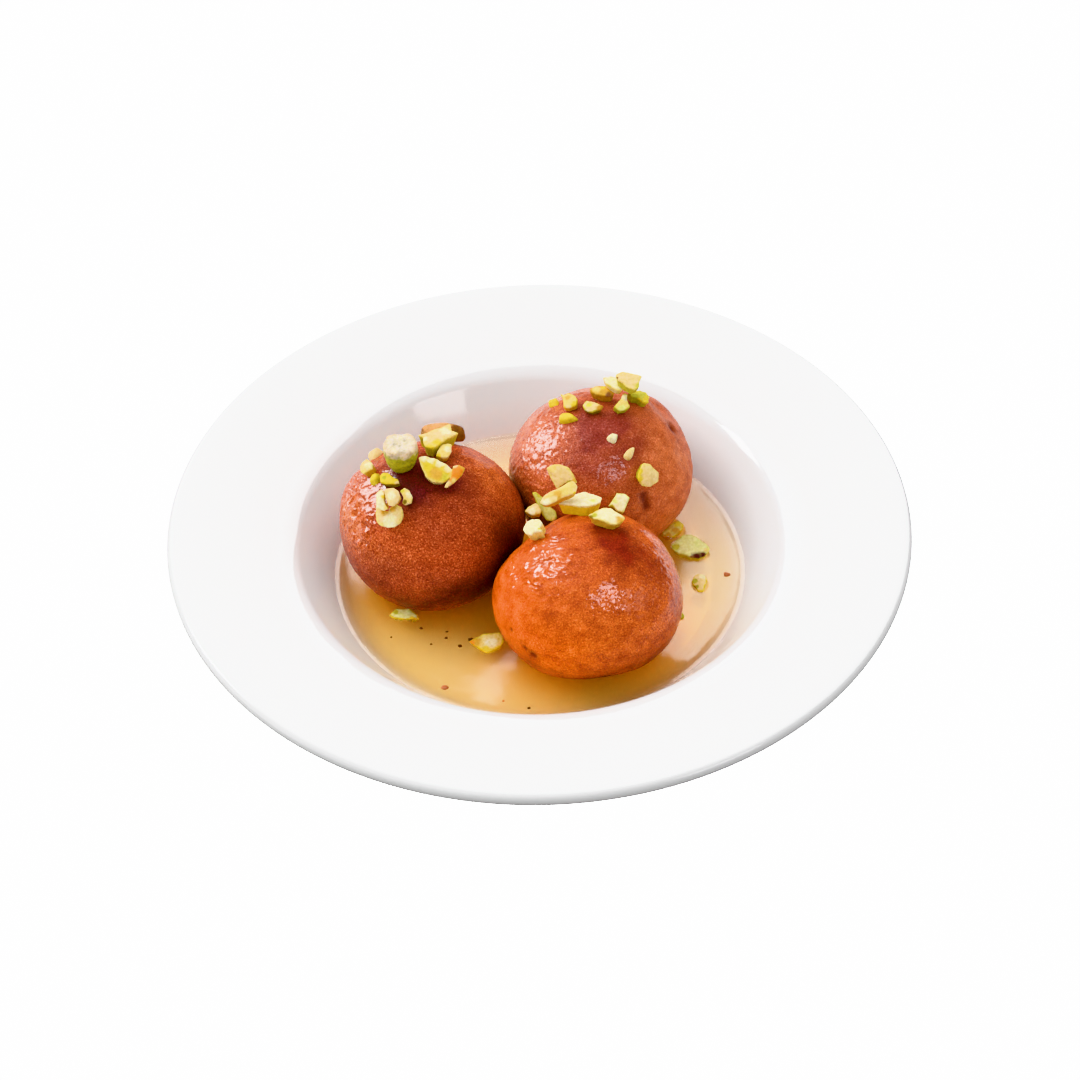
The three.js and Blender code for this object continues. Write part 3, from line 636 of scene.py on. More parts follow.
IVORY = linear(252, 243, 208)
CREAM = linear(251, 224, 165)
BUTTER = linear(250, 226, 140)
LEMON = linear(238, 212, 70)
LIME = linear(214, 205, 82)
MINT = linear(228, 226, 142)
PALE = linear(252, 250, 182)
GREEN = linear(190, 184, 62)
OLIVE = linear(152, 128, 40)
GOLD = linear(230, 182, 78)
OCHRE = linear(202, 152, 52)
ORANGE = linear(244, 150, 36)
BROWN = linear(140, 84, 18)
ROSE = linear(240, 216, 190)
BLUSH = linear(234, 220, 204)
PEACH = linear(228, 168, 112)
MAUVE = linear(158, 106, 74)
PURPLE = linear(104, 42, 34)

# A row is the CAD's. A shard is flat: it faces a bearing and a rise, its outline is drawn on
# that face, and its far side is the outline scaled by the taper, `thick` behind it. The
# face's middle stands out by the dome. Its colours are those of the face, of the face's rim
# and of the sides; spots on the face are (x, y, radius, colour).
Shard = namedtuple("Shard", "faces thick taper dome colours outline spots")

SHARDS = {
    "left_oval": Shard((-110, 48), 2.8, 0.85, 0.7, (CREAM, BUTTER, CREAM),
        [(-3.8, -0.5), (-3, -1.9), (-0.9, -2.9), (0.8, -2.9), (2.7, -2), (3.7, -0.1), (3.5, 2.1),
         (2.1, 3), (0.5, 2.6), (-0.3, 1.5), (-2.3, 2.3), (-3.5, 2.8)],
        [(-1.1, 1.3, 1.3, GOLD), (1.1, 2, 1.1, GOLD), (0, -1.3, 2.3, IVORY)]),
    "left_green": Shard((-127, 64), 2.4, 0.9, 0.3, (LEMON, LEMON, OLIVE),
        [(-2.2, -0.6), (-0.6, -1.3), (1.5, -1.9), (3, -1.8), (2.6, -0.5), (0.9, 0.7), (0, 1.9),
         (-1.4, 2.3), (-2.4, 1.4)],
        [(2.7, -2, 1.2, CREAM), (-1, 0.5, 0.8, GREEN), (-1.6, 2.3, 0.7, LIME)]),
    "left_nub": Shard((-119, 49), 2, 0.85, 0.5, (IVORY, CREAM, GOLD),
        [(-1.6, -1.9), (0.6, -2.8), (1.7, -2.3), (0.9, -0.3), (1.3, 1.9), (0.6, 3.2), (-1.1, 2.2)],
        [(0.9, 1, 0.7, LEMON), (1.4, -2, 0.8, BUTTER)]),
    "left_cube": Shard((-112, 52), 2.6, 0.8, 0.6, (CREAM, CREAM, GOLD),
        [(-1.9, -0.2), (-1.2, -2.1), (0.1, -2.7), (1.3, -2), (2.2, -0.4), (1.8, 1.3), (0.5, 2.3),
         (-1.9, 2.2)],
        [(-0.1, 0.2, 1.3, IVORY), (-1.7, -1.6, 0.8, GOLD)]),
    "left_chip": Shard((-105, 60), 2, 0.8, 0.5, (BUTTER, CREAM, OLIVE),
        [(-0.9, 0.1), (-1.1, -1.8), (-0.4, -2.4), (1.1, -1.9), (1.7, -0.5), (0.7, 1.6), (-0.4, 2.6),
         (-1.6, 1.8)],
        [(-0.4, -1.4, 0.7, OLIVE), (-1, 1.7, 0.8, LIME), (0.7, 0.2, 1, IVORY)]),
    "left_pale": Shard((-160, 60), 3, 0.8, 0.6, (CREAM, BUTTER, GOLD),
        [(-1.7, -1.3), (-0.7, -2.3), (0.2, -1.7), (1.8, -1.4), (2.2, -0.3), (1.4, 1.2), (0.3, 2.4),
         (-1.2, 1.7), (-2, 0.8)],
        [(0.9, -0.2, 1.3, IVORY), (-0.7, -1.8, 1, BUTTER)]),
    "left_halfmoon": Shard((-85, 58), 3.4, 0.9, 0.2, (LEMON, BUTTER, CREAM),
        [(-3.7, 0.7), (-2.6, -1.9), (-0.8, -3.4), (1.8, -3.6), (4, -2.4), (4.6, 0), (2.8, 1.5),
         (-0.1, 3.1), (-2.8, 3.8), (-4.5, 3.5)],
        [(-3.2, 3.3, 1.3, IVORY), (-1.1, 2.8, 1.3, IVORY), (1.2, 1.8, 1.4, IVORY),
         (3.2, 0.3, 1.2, IVORY), (2.5, -2.3, 1.5, LIME), (-0.1, -1.3, 2, GOLD),
         (-1.1, -3.3, 1.1, BUTTER)]),
    "left_wedge": Shard((-71, 60), 2.2, 0.8, 0.3, (ORANGE, GOLD, CREAM),
        [(-1.1, 0.9), (-1.3, -1.2), (-3, -3.5), (-2.2, -3.8), (-0.1, -2.1), (1.7, -0.1), (2.5, 2),
         (0.8, 2.9), (-0.7, 2.5)],
        [(-1.9, -3.2, 1.5, CREAM), (-0.4, 2.5, 0.9, CREAM), (1.9, 2.3, 0.9, GOLD),
         (-0.6, -1.7, 0.9, BUTTER)]),
    "left_chunk": Shard((-17, 86), 4.2, 0.8, 0.4, (CREAM, BUTTER, LIME),
        [(-3.8, -0.7), (-3.9, -2.4), (-3.3, -4.1), (-1.3, -4.8), (0, -3.6), (2, -1.4), (3.5, -0.1),
         (5.8, 1.2), (3.7, 2.3), (3.3, 5.1), (-0.7, 2.7), (-3.4, 0.9), (-5.5, 0.2)],
        [(-2, -5, 2.1, LEMON), (-1.9, -7, 1, OLIVE), (-0.3, -2.6, 1.3, LEMON), (-3.5, -1.4, 1, IVORY),
         (2, 1.7, 1.7, IVORY)]),
    "left_leaf": Shard((-50, 79), 2.4, 0.8, 0.4, (BUTTER, CREAM, GOLD),
        [(-1.8, 0), (-2.3, -1.9), (-0.5, -2.5), (1, -2.1), (1.9, 0), (1.8, 2.5), (0.8, 2.7),
         (-0.9, 1.9)],
        [(-1.5, -1.9, 1, LEMON), (0.8, 0.4, 1.2, IVORY)]),
    "back_golden": Shard((-86, 80), 2.8, 0.85, 0.5, (GOLD, OCHRE, OCHRE),
        [(-3.1, -0.3), (-2, -1.1), (0.2, -1.7), (2.3, -1.9), (3.3, -0.8), (2.6, 0.7), (0.5, 1.8),
         (-1.5, 1.9), (-3.5, 0.8)],
        [(-1.6, 0.5, 1.5, BUTTER), (1.7, -1.3, 1.1, MAUVE), (0.2, 1, 0.9, LEMON)]),
    "back_rhomb": Shard((-101, 72), 2.2, 0.85, 0.3, (CREAM, LIME, OLIVE),
        [(-2.1, -0.8), (0, -1.7), (2.4, -1), (3.1, 0), (0.5, 1.3), (-1.4, 1.9), (-2.5, 0.6)],
        [(2, -0.8, 1.3, OCHRE), (-0.7, 0.3, 1, LIME), (-1.7, -1.4, 0.8, IVORY)]),
    "back_knob": Shard((-132, 72), 2.4, 0.85, 0.5, (BUTTER, LEMON, GOLD),
        [(-1.8, 1.6), (-1.6, 0.1), (-1.7, -2), (-0.2, -2.5), (1.8, -1.9), (2.4, -0.2), (1.4, 1.4),
         (0.1, 2.6), (-1.1, 2.2), (-2.4, 2.8)],
        [(1.5, -1.6, 1.1, LEMON), (-0.3, -2.6, 1.1, CREAM), (-0.2, 0.7, 1, GOLD)]),
    "back_fan": Shard((-64, 72), 2.2, 0.9, 0.2, (BUTTER, LIME, GREEN),
        [(-0.5, 1.3), (-1.5, 0), (-2.5, -1.4), (-1.1, -2.5), (0.9, -1.8), (2.1, -0.8), (1.1, 1.4),
         (1.4, 2.9), (0.6, 3.4), (-0.1, 2.8)],
        [(-0.3, -1.7, 1.4, MINT), (0.5, 1.8, 1.1, IVORY), (-0.8, -3.3, 0.8, LIME)]),
    "back_band": Shard((-33, 71), 2.6, 0.85, 0.3, (LIME, LEMON, GREEN),
        [(-2.4, -0.9), (-0.5, -0.9), (0.4, -2.1), (2.1, -1.9), (2.6, 0.1), (1.6, 1.7), (0, 2),
         (-2, 1.1), (-3.7, 0)],
        [(-1.8, -0.5, 1.3, GREEN), (1.7, -1, 1.3, LEMON), (-0.2, -2.6, 1.1, OCHRE),
         (-3.4, -0.3, 0.8, OLIVE)]),
    "back_pale": Shard((-62, 80), 2.2, 0.85, 0.2, (IVORY, BUTTER, CREAM),
        [(-2.1, 0), (-0.7, -1.4), (0.9, -2.5), (2.3, -2.5), (2.6, -0.6), (1, 0.5), (0.6, 2.2),
         (-0.9, 2.4), (-2.8, 2)],
        [(-1.7, 0.9, 1.5, IVORY), (-1.4, -1.1, 0.9, LIME)]),
    "back_pink": Shard((-47, 74), 2.8, 0.85, 0.1, (CREAM, BUTTER, LIME),
        [(-3.3, -0.3), (-2, -1.3), (-0.7, -2.6), (1.2, -3.2), (2.6, -2.2), (2.7, -0.2), (3.6, 1.7),
         (-0.4, 2.4), (-2, 2.4), (-3.7, 1.5)],
        [(-1.9, -0.3, 1.8, CREAM), (2.6, -1.7, 1.4, LIME), (0.6, -4.1, 1.3, MINT),
         (-3.5, 0.2, 0.5, BROWN), (1.3, 0.1, 1.5, CREAM)]),
    "back_slope": Shard((-67, 33), 3.4, 0.75, 0.6, (CREAM, BUTTER, GREEN),
        [(-2.8, -1.3), (-1.5, -2.8), (1.1, -3.1), (3.1, -1.2), (3, 1.1), (0.1, 3.2), (-1.9, 3.1),
         (-2.9, 0.6)],
        [(-2.6, -0.9, 1.3, LEMON), (-2.5, 1, 0.9, LEMON), (0.5, 0.6, 1.7, CREAM),
         (0.9, -2.3, 1.1, CREAM)]),
    "cleft_mid": Shard((-8, 82), 2.8, 0.8, 0.3, (IVORY, BUTTER, GOLD),
        [(-4, -1.3), (-2.1, -1.8), (0.1, -2.7), (2, -2.9), (4.3, -1.3), (4.7, 0.2), (2.1, 1.8),
         (1, 3.1), (-1.3, 2.9), (-3.4, 1.4), (-5.2, -0.2)],
        [(3.2, -1.5, 1.6, GOLD), (-3.2, -2.7, 1.4, BUTTER), (-3.4, 0, 1.1, GREEN),
         (-4.7, -0.9, 0.8, OLIVE), (-0.3, 1, 1.7, IVORY)]),
    "cleft_big": Shard((99, 74), 3.6, 0.8, 0.2, (IVORY, IVORY, LEMON),
        [(-6.3, -1), (-3.8, -2.1), (-0.9, -3.2), (1.5, -4), (3.2, -3.1), (5.2, -1.7), (5.5, 0.5),
         (4.5, 1.4), (1.1, 4.3), (-1, 3.8), (-3.8, 1.9), (-6.5, 0.2)],
        [(3.4, -5, 1.5, LIME), (4.4, -6.3, 0.9, OLIVE), (5, -2.6, 0.7, CREAM), (2.4, -8.2, 1, GREEN),
         (-4.5, -4.4, 1.5, LEMON), (3.1, -1.3, 1.2, MINT)]),
    "cleft_chunk": Shard((-176, 66), 3.4, 0.85, 0.5, (IVORY, IVORY, BUTTER),
        [(-2.8, -0.2), (-2.2, -1.5), (-0.6, -2.7), (0.6, -2.2), (2.4, -2.7), (2.6, -2.1), (1.8, -1.2),
         (2.3, -0.8), (2.9, 0.3), (2.1, 1.7), (0.1, 2.7), (-1.6, 2.6), (-2.4, 1.3)],
        [(2.4, -3.4, 0.6, GOLD), (2.1, -1.8, 0.6, LIME), (-0.2, -2.7, 1.4, IVORY),
         (-1.4, -4.1, 0.9, BUTTER)]),
    "cleft_top": Shard((-111, 38), 2.6, 0.85, 0.3, (CREAM, BUTTER, GOLD),
        [(-2.7, -1.1), (-1.6, -3.5), (-0.5, -3), (1.3, -2.2), (2.8, -2.2), (4.1, -2.9), (3.6, -0.4),
         (2.3, 1.7), (0.3, 2.9), (-2, 3.1), (-3.7, 2.4)],
        [(2.3, -2.3, 0.9, GREEN), (3.5, -1.9, 0.8, GOLD), (-1.9, 2.2, 1.2, BUTTER),
         (-0.1, 0, 1.6, CREAM), (1.5, -2.9, 0.6, OLIVE)]),
    "cleft_thin": Shard((-90, 48), 2.2, 0.8, 0.3, (MINT, LIME, LIME),
        [(-1.9, 0.5), (-0.8, -2), (0.4, -3.4), (1.9, -3.7), (3.1, -2.8), (3.1, -1.1), (0.4, 1.2),
         (-0.6, 3), (-2.3, 4.6), (-3.4, 4.3)],
        [(-1.7, 3.4, 0.8, LIME), (1.8, -2, 1.4, MINT), (2.3, -3.2, 0.8, BUTTER),
         (-0.6, 1.2, 0.8, GREEN)]),
    "cleft_right": Shard((-92, 62), 2.8, 0.85, 0.2, (IVORY, MINT, LIME),
        [(-1.8, -1.4), (-0.8, -2.4), (0.7, -3.1), (1.8, -1.1), (2.6, 1.3), (1.4, 2.5), (-0.8, 2.6),
         (-1.5, 1.4), (-3.2, -1)],
        [(-2.2, -1.1, 0.8, GREEN), (-1.2, 0.2, 0.9, MINT), (0.6, 0.8, 1.4, IVORY)]),
    "cleft_small": Shard((-90, 72), 2.6, 0.8, 0.3, (CREAM, BUTTER, GOLD),
        [(-0.6, -1.6), (1.7, -1.3), (2, -0.3), (1.4, 1.2), (0.6, 2.1), (-1.6, 0.7), (-2.5, -0.5)],
        [(-0.5, -0.6, 1.3, IVORY), (0.9, -1.8, 0.8, BUTTER)]),
    "cleft_strip": Shard((-91, 67), 3, 0.85, 0.3, (BUTTER, CREAM, GOLD),
        [(1, 2.3), (-0.5, 1.3), (-2.6, 0.5), (-4.5, -0.8), (-5.4, -2.7), (-4.1, -3.2), (-2, -2.8),
         (0.1, -1.7), (2.2, -0.7), (4.4, 0.1), (4.6, 2.1), (3.9, 3.5), (2.1, 3.2)],
        [(-3.6, -2.7, 1.5, IVORY), (-0.6, -0.7, 1.6, GOLD), (2.9, 2, 1.6, BUTTER),
         (-1.6, -1.4, 1, CREAM), (4.1, -0.1, 0.8, LEMON)]),
    "float_wedge": Shard((-86, 79), 3, 0.8, 0.3, (PALE, LEMON, GREEN),
        [(-2.9, -1), (-0.1, -1.6), (4.1, -1.7), (3.3, 0.1), (1.3, 1.9), (-2.1, 1.8), (-4.3, -0.2)],
        [(2.1, -1.6, 0.9, LEMON), (-2.3, 0.5, 0.9, LIME)]),
    "float_orange": Shard((-88, 79), 3.4, 0.8, 0.3, (BUTTER, LEMON, LEMON),
        [(-2.4, -2.1), (-0.3, -3.4), (3.2, -1.8), (4.2, 0.1), (3.1, 2.9), (-1.6, 2.5), (-5.2, 0.2)],
        [(0.4, -0.4, 2, IVORY), (-3.6, -0.2, 1.9, GOLD), (-4.6, -0.2, 0.9, ORANGE),
         (-0.7, -2.8, 1.5, LEMON), (2.6, 1.6, 1.2, BUTTER)]),
    "float_ochre": Shard((-94, 79), 3.4, 0.8, 0.5, (BUTTER, LEMON, GOLD),
        [(-2.8, -2.5), (-0.9, -3), (0.6, -1.9), (2.8, 0.1), (3.1, 1.9), (2.1, 3.2), (0.6, 2.9),
         (-1.7, 0.6), (-3.7, -1.4)],
        [(1.6, 1.6, 1.2, LEMON), (-1.5, -2.4, 1.4, GOLD), (1.1, -0.6, 1.2, GOLD)]),
    "float_skin": Shard((-94, 81), 4, 0.85, 0.2, (PALE, MINT, LIME),
        [(-5, -0.7), (-3.5, -2.3), (-1, -2.9), (-0.6, -3.8), (2.2, -3.9), (4.1, -2.9), (4.8, -2),
         (5.5, -0.9), (2.3, 2.9), (0.5, 4.2), (-2, 4.1), (-3.6, 2.3), (-5.3, 1.1)],
        [(-3.9, 0, 1.3, LIME), (1.6, -3.6, 1.6, PURPLE), (3.4, -3, 1.2, PURPLE),
         (0.2, -3.9, 0.8, MAUVE), (0.6, 1, 1.8, PALE), (4.4, -1.4, 0.9, BUTTER)]),
    "float_small": Shard((-94, 79), 3, 0.8, 0.3, (CREAM, LEMON, GREEN),
        [(-2.1, -0.5), (-1.1, -1.5), (-0.6, -3.1), (0.7, -3.3), (1.4, -1.3), (2, 0.5), (1.6, 2.4),
         (-0.2, 2.8), (-1.3, 2.2), (-2.2, 0.4)],
        [(-1.5, 0.3, 1, GREEN), (-0.3, -3.4, 1.2, LEMON), (0.7, 1.6, 1, IVORY),
         (-0.9, -1.6, 0.6, GREEN)]),
}

# What is left of a kernel after flat cuts, (bearing, rise, distance), lies along X before it
# is turned, and stands or lies at a place on a dumpling. Its colours are those of its cut
# faces, of their rims and of the kernel's skin; a band of the skin, (start, end) along the
# kernel, has a colour of its own. `crumbled` is how many times rougher than usual it is.
Kernel = namedtuple("Kernel", "lies size cuts turns colours band crumbled")

KERNELS = {
    "left_stub": Kernel(
        None, (17, 9.2, 8.8),
        [(0, 0, 2.0), (180, 20, 6.2), (38, 0, 3.9), (-40, 0, 3.7), (0, 42, 3.8), (0, -38, 3.7)],
        (0, -88, -90), (BLUSH, ROSE, GREEN), (-0.8, 1.0, ROSE), 2.4),
    "left_toasted": Kernel(
        ("left", (-25.5, 22.5)), (14.4, 6.4, 6.2), [(0, -90, 2.0), (0, 10, 5.8), (180, 0, 6.0)],
        (0, -4, 8), (OCHRE, BROWN, BROWN), (2.6, 0.6, PEACH), 1.0),
}

SHARD_ROUND = 96  # points round a shard
FACE_RINGS = 9
SIDE_RINGS = 5
SHARD_SEED, KERNEL_SEED, FLAKE_SEED = 100, 900, 500
SEED_STEP = 20  # from one piece to the next
EDGE_ROUNDING = 0.28
KERNEL_CELLS = 24
EDGE_SHARPNESS = 16  # of the edges between a kernel's faces
INNER_MARGIN = 0.35  # least share of the kernel's half height between a face and the middle
INNER_STEPS = 8
FARTHEST = 1e3  # stands for a cut that a direction never meets


def mottled(tint, points, depth, size, octaves, seed):
    """The tint, lighter and darker by a share of it from patch to patch."""
    return np.clip(tint * (1 + depth * fractal(points, size, octaves, seed + 70))[:, None], 0, 1)


def rounded(outline):
    """SHARD_ROUND points at even steps along an outline, its corners a little soft."""
    corners = np.array(outline + outline[:1], float)
    run = np.concatenate([[0], np.cumsum(np.linalg.norm(np.diff(corners, axis=0), axis=1))])
    steps = np.linspace(0, run[-1], SHARD_ROUND, endpoint=False)
    rim = np.stack([np.interp(steps, run, corners[:, k]) for k in (0, 1)], -1)
    for _ in range(2):
        rim = rim * 0.5 + (np.roll(rim, 1, axis=0) + np.roll(rim, -1, axis=0)) * 0.25
    return rim


def shard_profile(thick, taper, reach):
    """Rows of (share of the outline, depth) from the middle of the face to that of the back."""
    bevel = EDGE_ROUNDING / reach
    bend = [math.radians(a) for a in (22, 45, 68, 90)]
    low = thick - EDGE_ROUNDING
    sides = [k / SIDE_RINGS for k in range(1, SIDE_RINGS + 1)]
    rows = [(share * (1 - bevel), 0.0) for share in np.linspace(0.1, 1, FACE_RINGS)]
    rows += [(1 - bevel + bevel * math.sin(a), EDGE_ROUNDING * (1 - math.cos(a))) for a in bend]
    rows += [(1 - (1 - taper) * k, EDGE_ROUNDING + (low - EDGE_ROUNDING) * k) for k in sides]
    rows += [(taper - bevel + bevel * math.cos(a), low + EDGE_ROUNDING * math.sin(a)) for a in bend]
    rows += [(taper * share, thick) for share in (0.75, 0.45, 0.15)]
    return np.array(rows)


def shard_shape(row, seed):
    """Points and faces of a chopped shard, and for each point its share of the outline and depth."""
    rim = rounded(row.outline)
    profile = shard_profile(row.thick, row.taper, np.linalg.norm(rim, axis=1).mean())
    share, depth = (np.repeat(profile[:, k], SHARD_ROUND) for k in (0, 1))
    share, depth = np.append(share, [0, 0]), np.append(depth, [0, row.thick])
    flat = np.concatenate([np.tile(rim, (len(profile), 1)), [[0, 0], [0, 0]]]) * share[:, None]
    rise = np.where(depth < EDGE_ROUNDING, row.dome * (1 - share ** 2), 0.0)
    points = np.column_stack([flat, rise - depth])
    uneven = shifts(points, 2.8, 3, 0.17, (seed, seed + 3, seed + 6))
    chipped = shifts(points, 1.0, 2, 0.05, (seed + 9, seed + 11, seed + 13))
    return points + uneven + chipped, loft_faces(len(profile), SHARD_ROUND), share, depth


def shard_tint(points, share, depth, row, seed):
    face, rim, side = row.colours
    uneven = fractal(points, 1.8, 3, seed + 60)
    tint = mixed(face, rim, smooth(share + 0.10 * uneven, 0.76, 0.98))
    for x, y, radius, colour in row.spots:
        away = np.hypot(points[:, 0] - x, points[:, 1] - y) / radius + 0.30 * uneven
        tint = mixed(tint, colour, smooth(away, 1.15, 0.45))
    turned_away = smooth(depth + 0.25 * uneven, 0.25 * EDGE_ROUNDING, 0.6 + EDGE_ROUNDING)
    return mottled(mixed(tint, side, turned_away), points, 0.08, 1.1, 2, seed)


def inner_middle(half, cuts):
    """A point well inside what the cuts leave of a kernel."""
    middle = np.zeros(3)
    margin = INNER_MARGIN * half[2]
    for _ in range(INNER_STEPS):
        for bearing, rise, distance in cuts:
            face = way(bearing, rise)
            middle -= face * max(0.0, margin - (distance - face @ middle))
    return middle


def kernel_shape(directions, half, cuts, seed, crumbled=1.0):
    """Points of a cut kernel with rounded edges, how much each is skin, and its depth below it."""
    middle = inner_middle(half, cuts)
    origin, slope = middle / half, directions / half
    a = (slope ** 2).sum(1)
    b = slope @ origin
    reach = (-b + np.sqrt(b * b - a * (origin @ origin - 1))) / a
    walls = [reach]
    for bearing, rise, distance in cuts:
        face = way(bearing, rise)
        along = directions @ face
        meets = (distance - face @ middle) / np.maximum(along, 1 / FARTHEST)
        walls.append(np.where(along > 1 / FARTHEST, meets, FARTHEST))
    walls = np.stack(walls)
    radius = (walls ** -EDGE_SHARPNESS).sum(0) ** (-1 / EDGE_SHARPNESS)
    skin = smooth(walls[1:].min(0) / reach, 0.97, 1.10)
    rough = fractal(directions * radius[:, None], 2.4, 3, seed) * 0.16
    chipped = fractal(directions * radius[:, None], 1.1, 2, seed + 9) * 0.06
    points = middle + directions * (radius + crumbled * (rough + chipped) * (1 - 0.6 * skin))[:, None]
    depth = 1 - np.sqrt(((points / half) ** 2).sum(1))
    return points, skin, depth


def skin_normal(name, at):
    jamun = JAMUNS[name]
    across = (np.array(at) - jamun["at"]) / jamun["wide"]
    up = math.sqrt(max(1 - across @ across, 0))
    return Vector((across[0] / jamun["wide"], across[1] / jamun["wide"], up / jamun["tall"])).normalized()


def kernel_turn(row):
    tip, nose, turn = (math.radians(angle) for angle in row.turns)
    level = Matrix.Rotation(turn, 3, "Z") @ Matrix.Rotation(nose, 3, "Y") @ Matrix.Rotation(tip, 3, "X")
    return np.array(turn_to(skin_normal(*row.lies)) @ level if row.lies else level)


def kernel_tint(points, skin, depth, row, seed):
    face, rim, hull = row.colours
    start, end, banded = row.band
    uneven = fractal(points, 2.0, 3, seed + 60)
    cut = mixed(face, rim, smooth(depth + 0.10 * uneven, 0.30, 0.04))
    outer = mixed(hull, banded, smooth((points[:, 0] + uneven - start) / (end - start), 0, 1))
    return mottled(mixed(cut, outer, skin), points, 0.35, 1.4, 3, seed)


SUNK = 0.2  # how far a piece sinks into the sticky skin that it lies on


def box_of(name):
    """The lowest and highest corners of a nut's solid."""
    return (np.array(corner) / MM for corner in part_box(f"pistachio_{name}"))


def place_nut(name, points, faces, tint, turn, material):
    """Puts a piece where the CAD has it: the middles of their boxes agree."""
    points = points @ turn.T
    low, high = box_of(name)
    points += (low + high) / 2 - (points.min(0) + points.max(0)) / 2
    if not name.startswith("float"):
        points[:, 2] -= SUNK
    piece = add_mesh(f"nut_{name}", points, faces, material, tint)
    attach(piece, "root")
    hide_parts(f"pistachio_{name}")


def turn_to(direction):
    """The turn that brings +Z to a direction."""
    return Vector((0, 0, 1)).rotation_difference(Vector(direction)).to_matrix()


def make_shard(name, row, seed, material):
    points, faces, share, depth = shard_shape(row, seed)
    tint = shard_tint(points, share, depth, row, seed)
    place_nut(name, points, faces, tint, np.array(turn_to(way(*row.faces))), material)


def make_kernel(name, row, seed, material):
    directions, quads = cube_sphere(KERNEL_CELLS)
    half = np.array(row.size) / 2
    points, skin, depth = kernel_shape(directions, half, row.cuts, seed, row.crumbled)
    tint = kernel_tint(points, skin, depth, row, seed)
    place_nut(name, points, quads, tint, kernel_turn(row), material)


# Flakes stuck to a dumpling, as the CAD has them.
Flake = namedtuple("Flake", "size bearing lean turn colour")

FLAKES = {
    "left": [
        Flake((4.6, 3.4, 2.6), 138, 50, 40, CREAM),
        Flake((4.2, 2.4, 2.2), -178, 34, 70, LEMON),
    ],
    "back": [
        Flake((3.2, 2.8, 2.4), 148, 34, 60, LEMON),
        Flake((6.2, 2.8, 2.2), -168, 20, -18, LEMON),
        Flake((3.6, 2.4, 2.0), -71, 23, 50, IVORY),
        Flake((4.8, 2.0, 1.8), -60, 36, 62, CREAM),
    ],
}
FLAKE_SUNK = 0.35
FLAKE_TAPER = 0.6
FLAKE_CELLS = 8


def make_flakes(name, material):
    parts, tints = [], []
    directions, quads = cube_sphere(FLAKE_CELLS)
    for number, flake in enumerate(FLAKES[name]):
        size = np.array(flake.size)
        half = size / 2 * (1, 1, 2)
        seed = FLAKE_SEED + SEED_STEP * number + len(name)
        cuts = [(0, -90, size[2] * FLAKE_SUNK), (20, 25, half[0] * 0.7), (200, 30, half[0] * 0.8),
                (0, 90, half[2] * 0.72)]
        shape, _, _ = kernel_shape(directions, half, cuts, seed)
        shape[:, 1] *= 1 - FLAKE_TAPER * shape[:, 0] / half[0]
        out = way(flake.bearing, 90 - flake.lean)
        spin = Matrix.Rotation(math.radians(flake.turn), 3, "Z")
        foot = jamun_points(name, out[None])[0] + middle_of(name)
        parts.append((shape @ np.array(turn_to(out) @ spin).T + foot, quads))
        tints.append(flake.colour * (1 + 0.15 * fractal(shape, 1.4, 2, seed))[:, None])
    points, faces = joined(parts)
    tint = np.clip(np.concatenate(tints), 0, 1)
    piece = add_mesh(f"flakes_{name}", points, faces, material, tint)
    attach(piece, "root")
    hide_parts(f"jamun_{name}")


# ---- syrup

POOL_SEGMENTS = 288
POOL_RINGS = 110
INTO_GLAZE = 0.35  # how far the pool's body reaches into the plate
CREEP = 2.9  # width over which the syrup climbs what it meets
WALL_RISE = 1.3  # how far it climbs the glaze, the dumplings and the floating nuts
JAMUN_RISE = 2.6
NUT_RISE = 0.15
HIGHEST_CREEP = 3.0
POOL_EDGE = 0.6  # thickness of the pool where it ends in the glaze
UNDER_NUT = 0.3  # how far below a floating nut's middle the syrup's surface passes
SHADE_REACH = 8.0  # how far from the dumplings the painted shadow in the syrup reaches


def wall_radius(z, into=0.0):
    """Inner radius of the well at a height on its straight wall, moved into the glaze."""
    return wall_bottom_r + (z - wall_bottom_z) / math.tan(wall_tilt) + into / math.sin(wall_tilt)


def near_dumplings(x, y, reach):
    """How near the dumplings are, summed: 1 where one stands, less by e for each `reach`."""
    near = np.zeros_like(x)
    for name in JAMUNS:
        offset = np.stack([x, y, np.full_like(x, SYRUP_Z)], -1) - middle_of(name)
        length = np.linalg.norm(offset, axis=-1)
        surface = np.linalg.norm(jamun_points(name, offset / length[:, None]), axis=-1)
        near = near + np.exp(-np.maximum(length - surface, 0) / reach)
    return near


def pool_top(x, y):
    """Height of the syrup, which climbs the glaze, the dumplings and the floating nuts."""
    radius = np.hypot(x, y)
    height = SYRUP_Z + WALL_RISE * np.exp(-np.maximum(wall_radius(SYRUP_Z) - radius, 0) / CREEP)
    height = height + JAMUN_RISE * near_dumplings(x, y, CREEP)
    for name in SHARDS:
        if name.startswith("float"):
            low, high = box_of(name)
            middle, half = (low + high) / 2, (high - low) / 2
            away = np.hypot((x - middle[0]) / half[0], (y - middle[1]) / half[1])
            beneath = smooth(away, 0.98, 0.72)
            height = height + NUT_RISE * np.exp(-np.maximum(away - 0.8, 0) * half[:2].mean() / CREEP)
            height = height * (1 - beneath) + (middle[2] - UNDER_NUT) * beneath
    return height


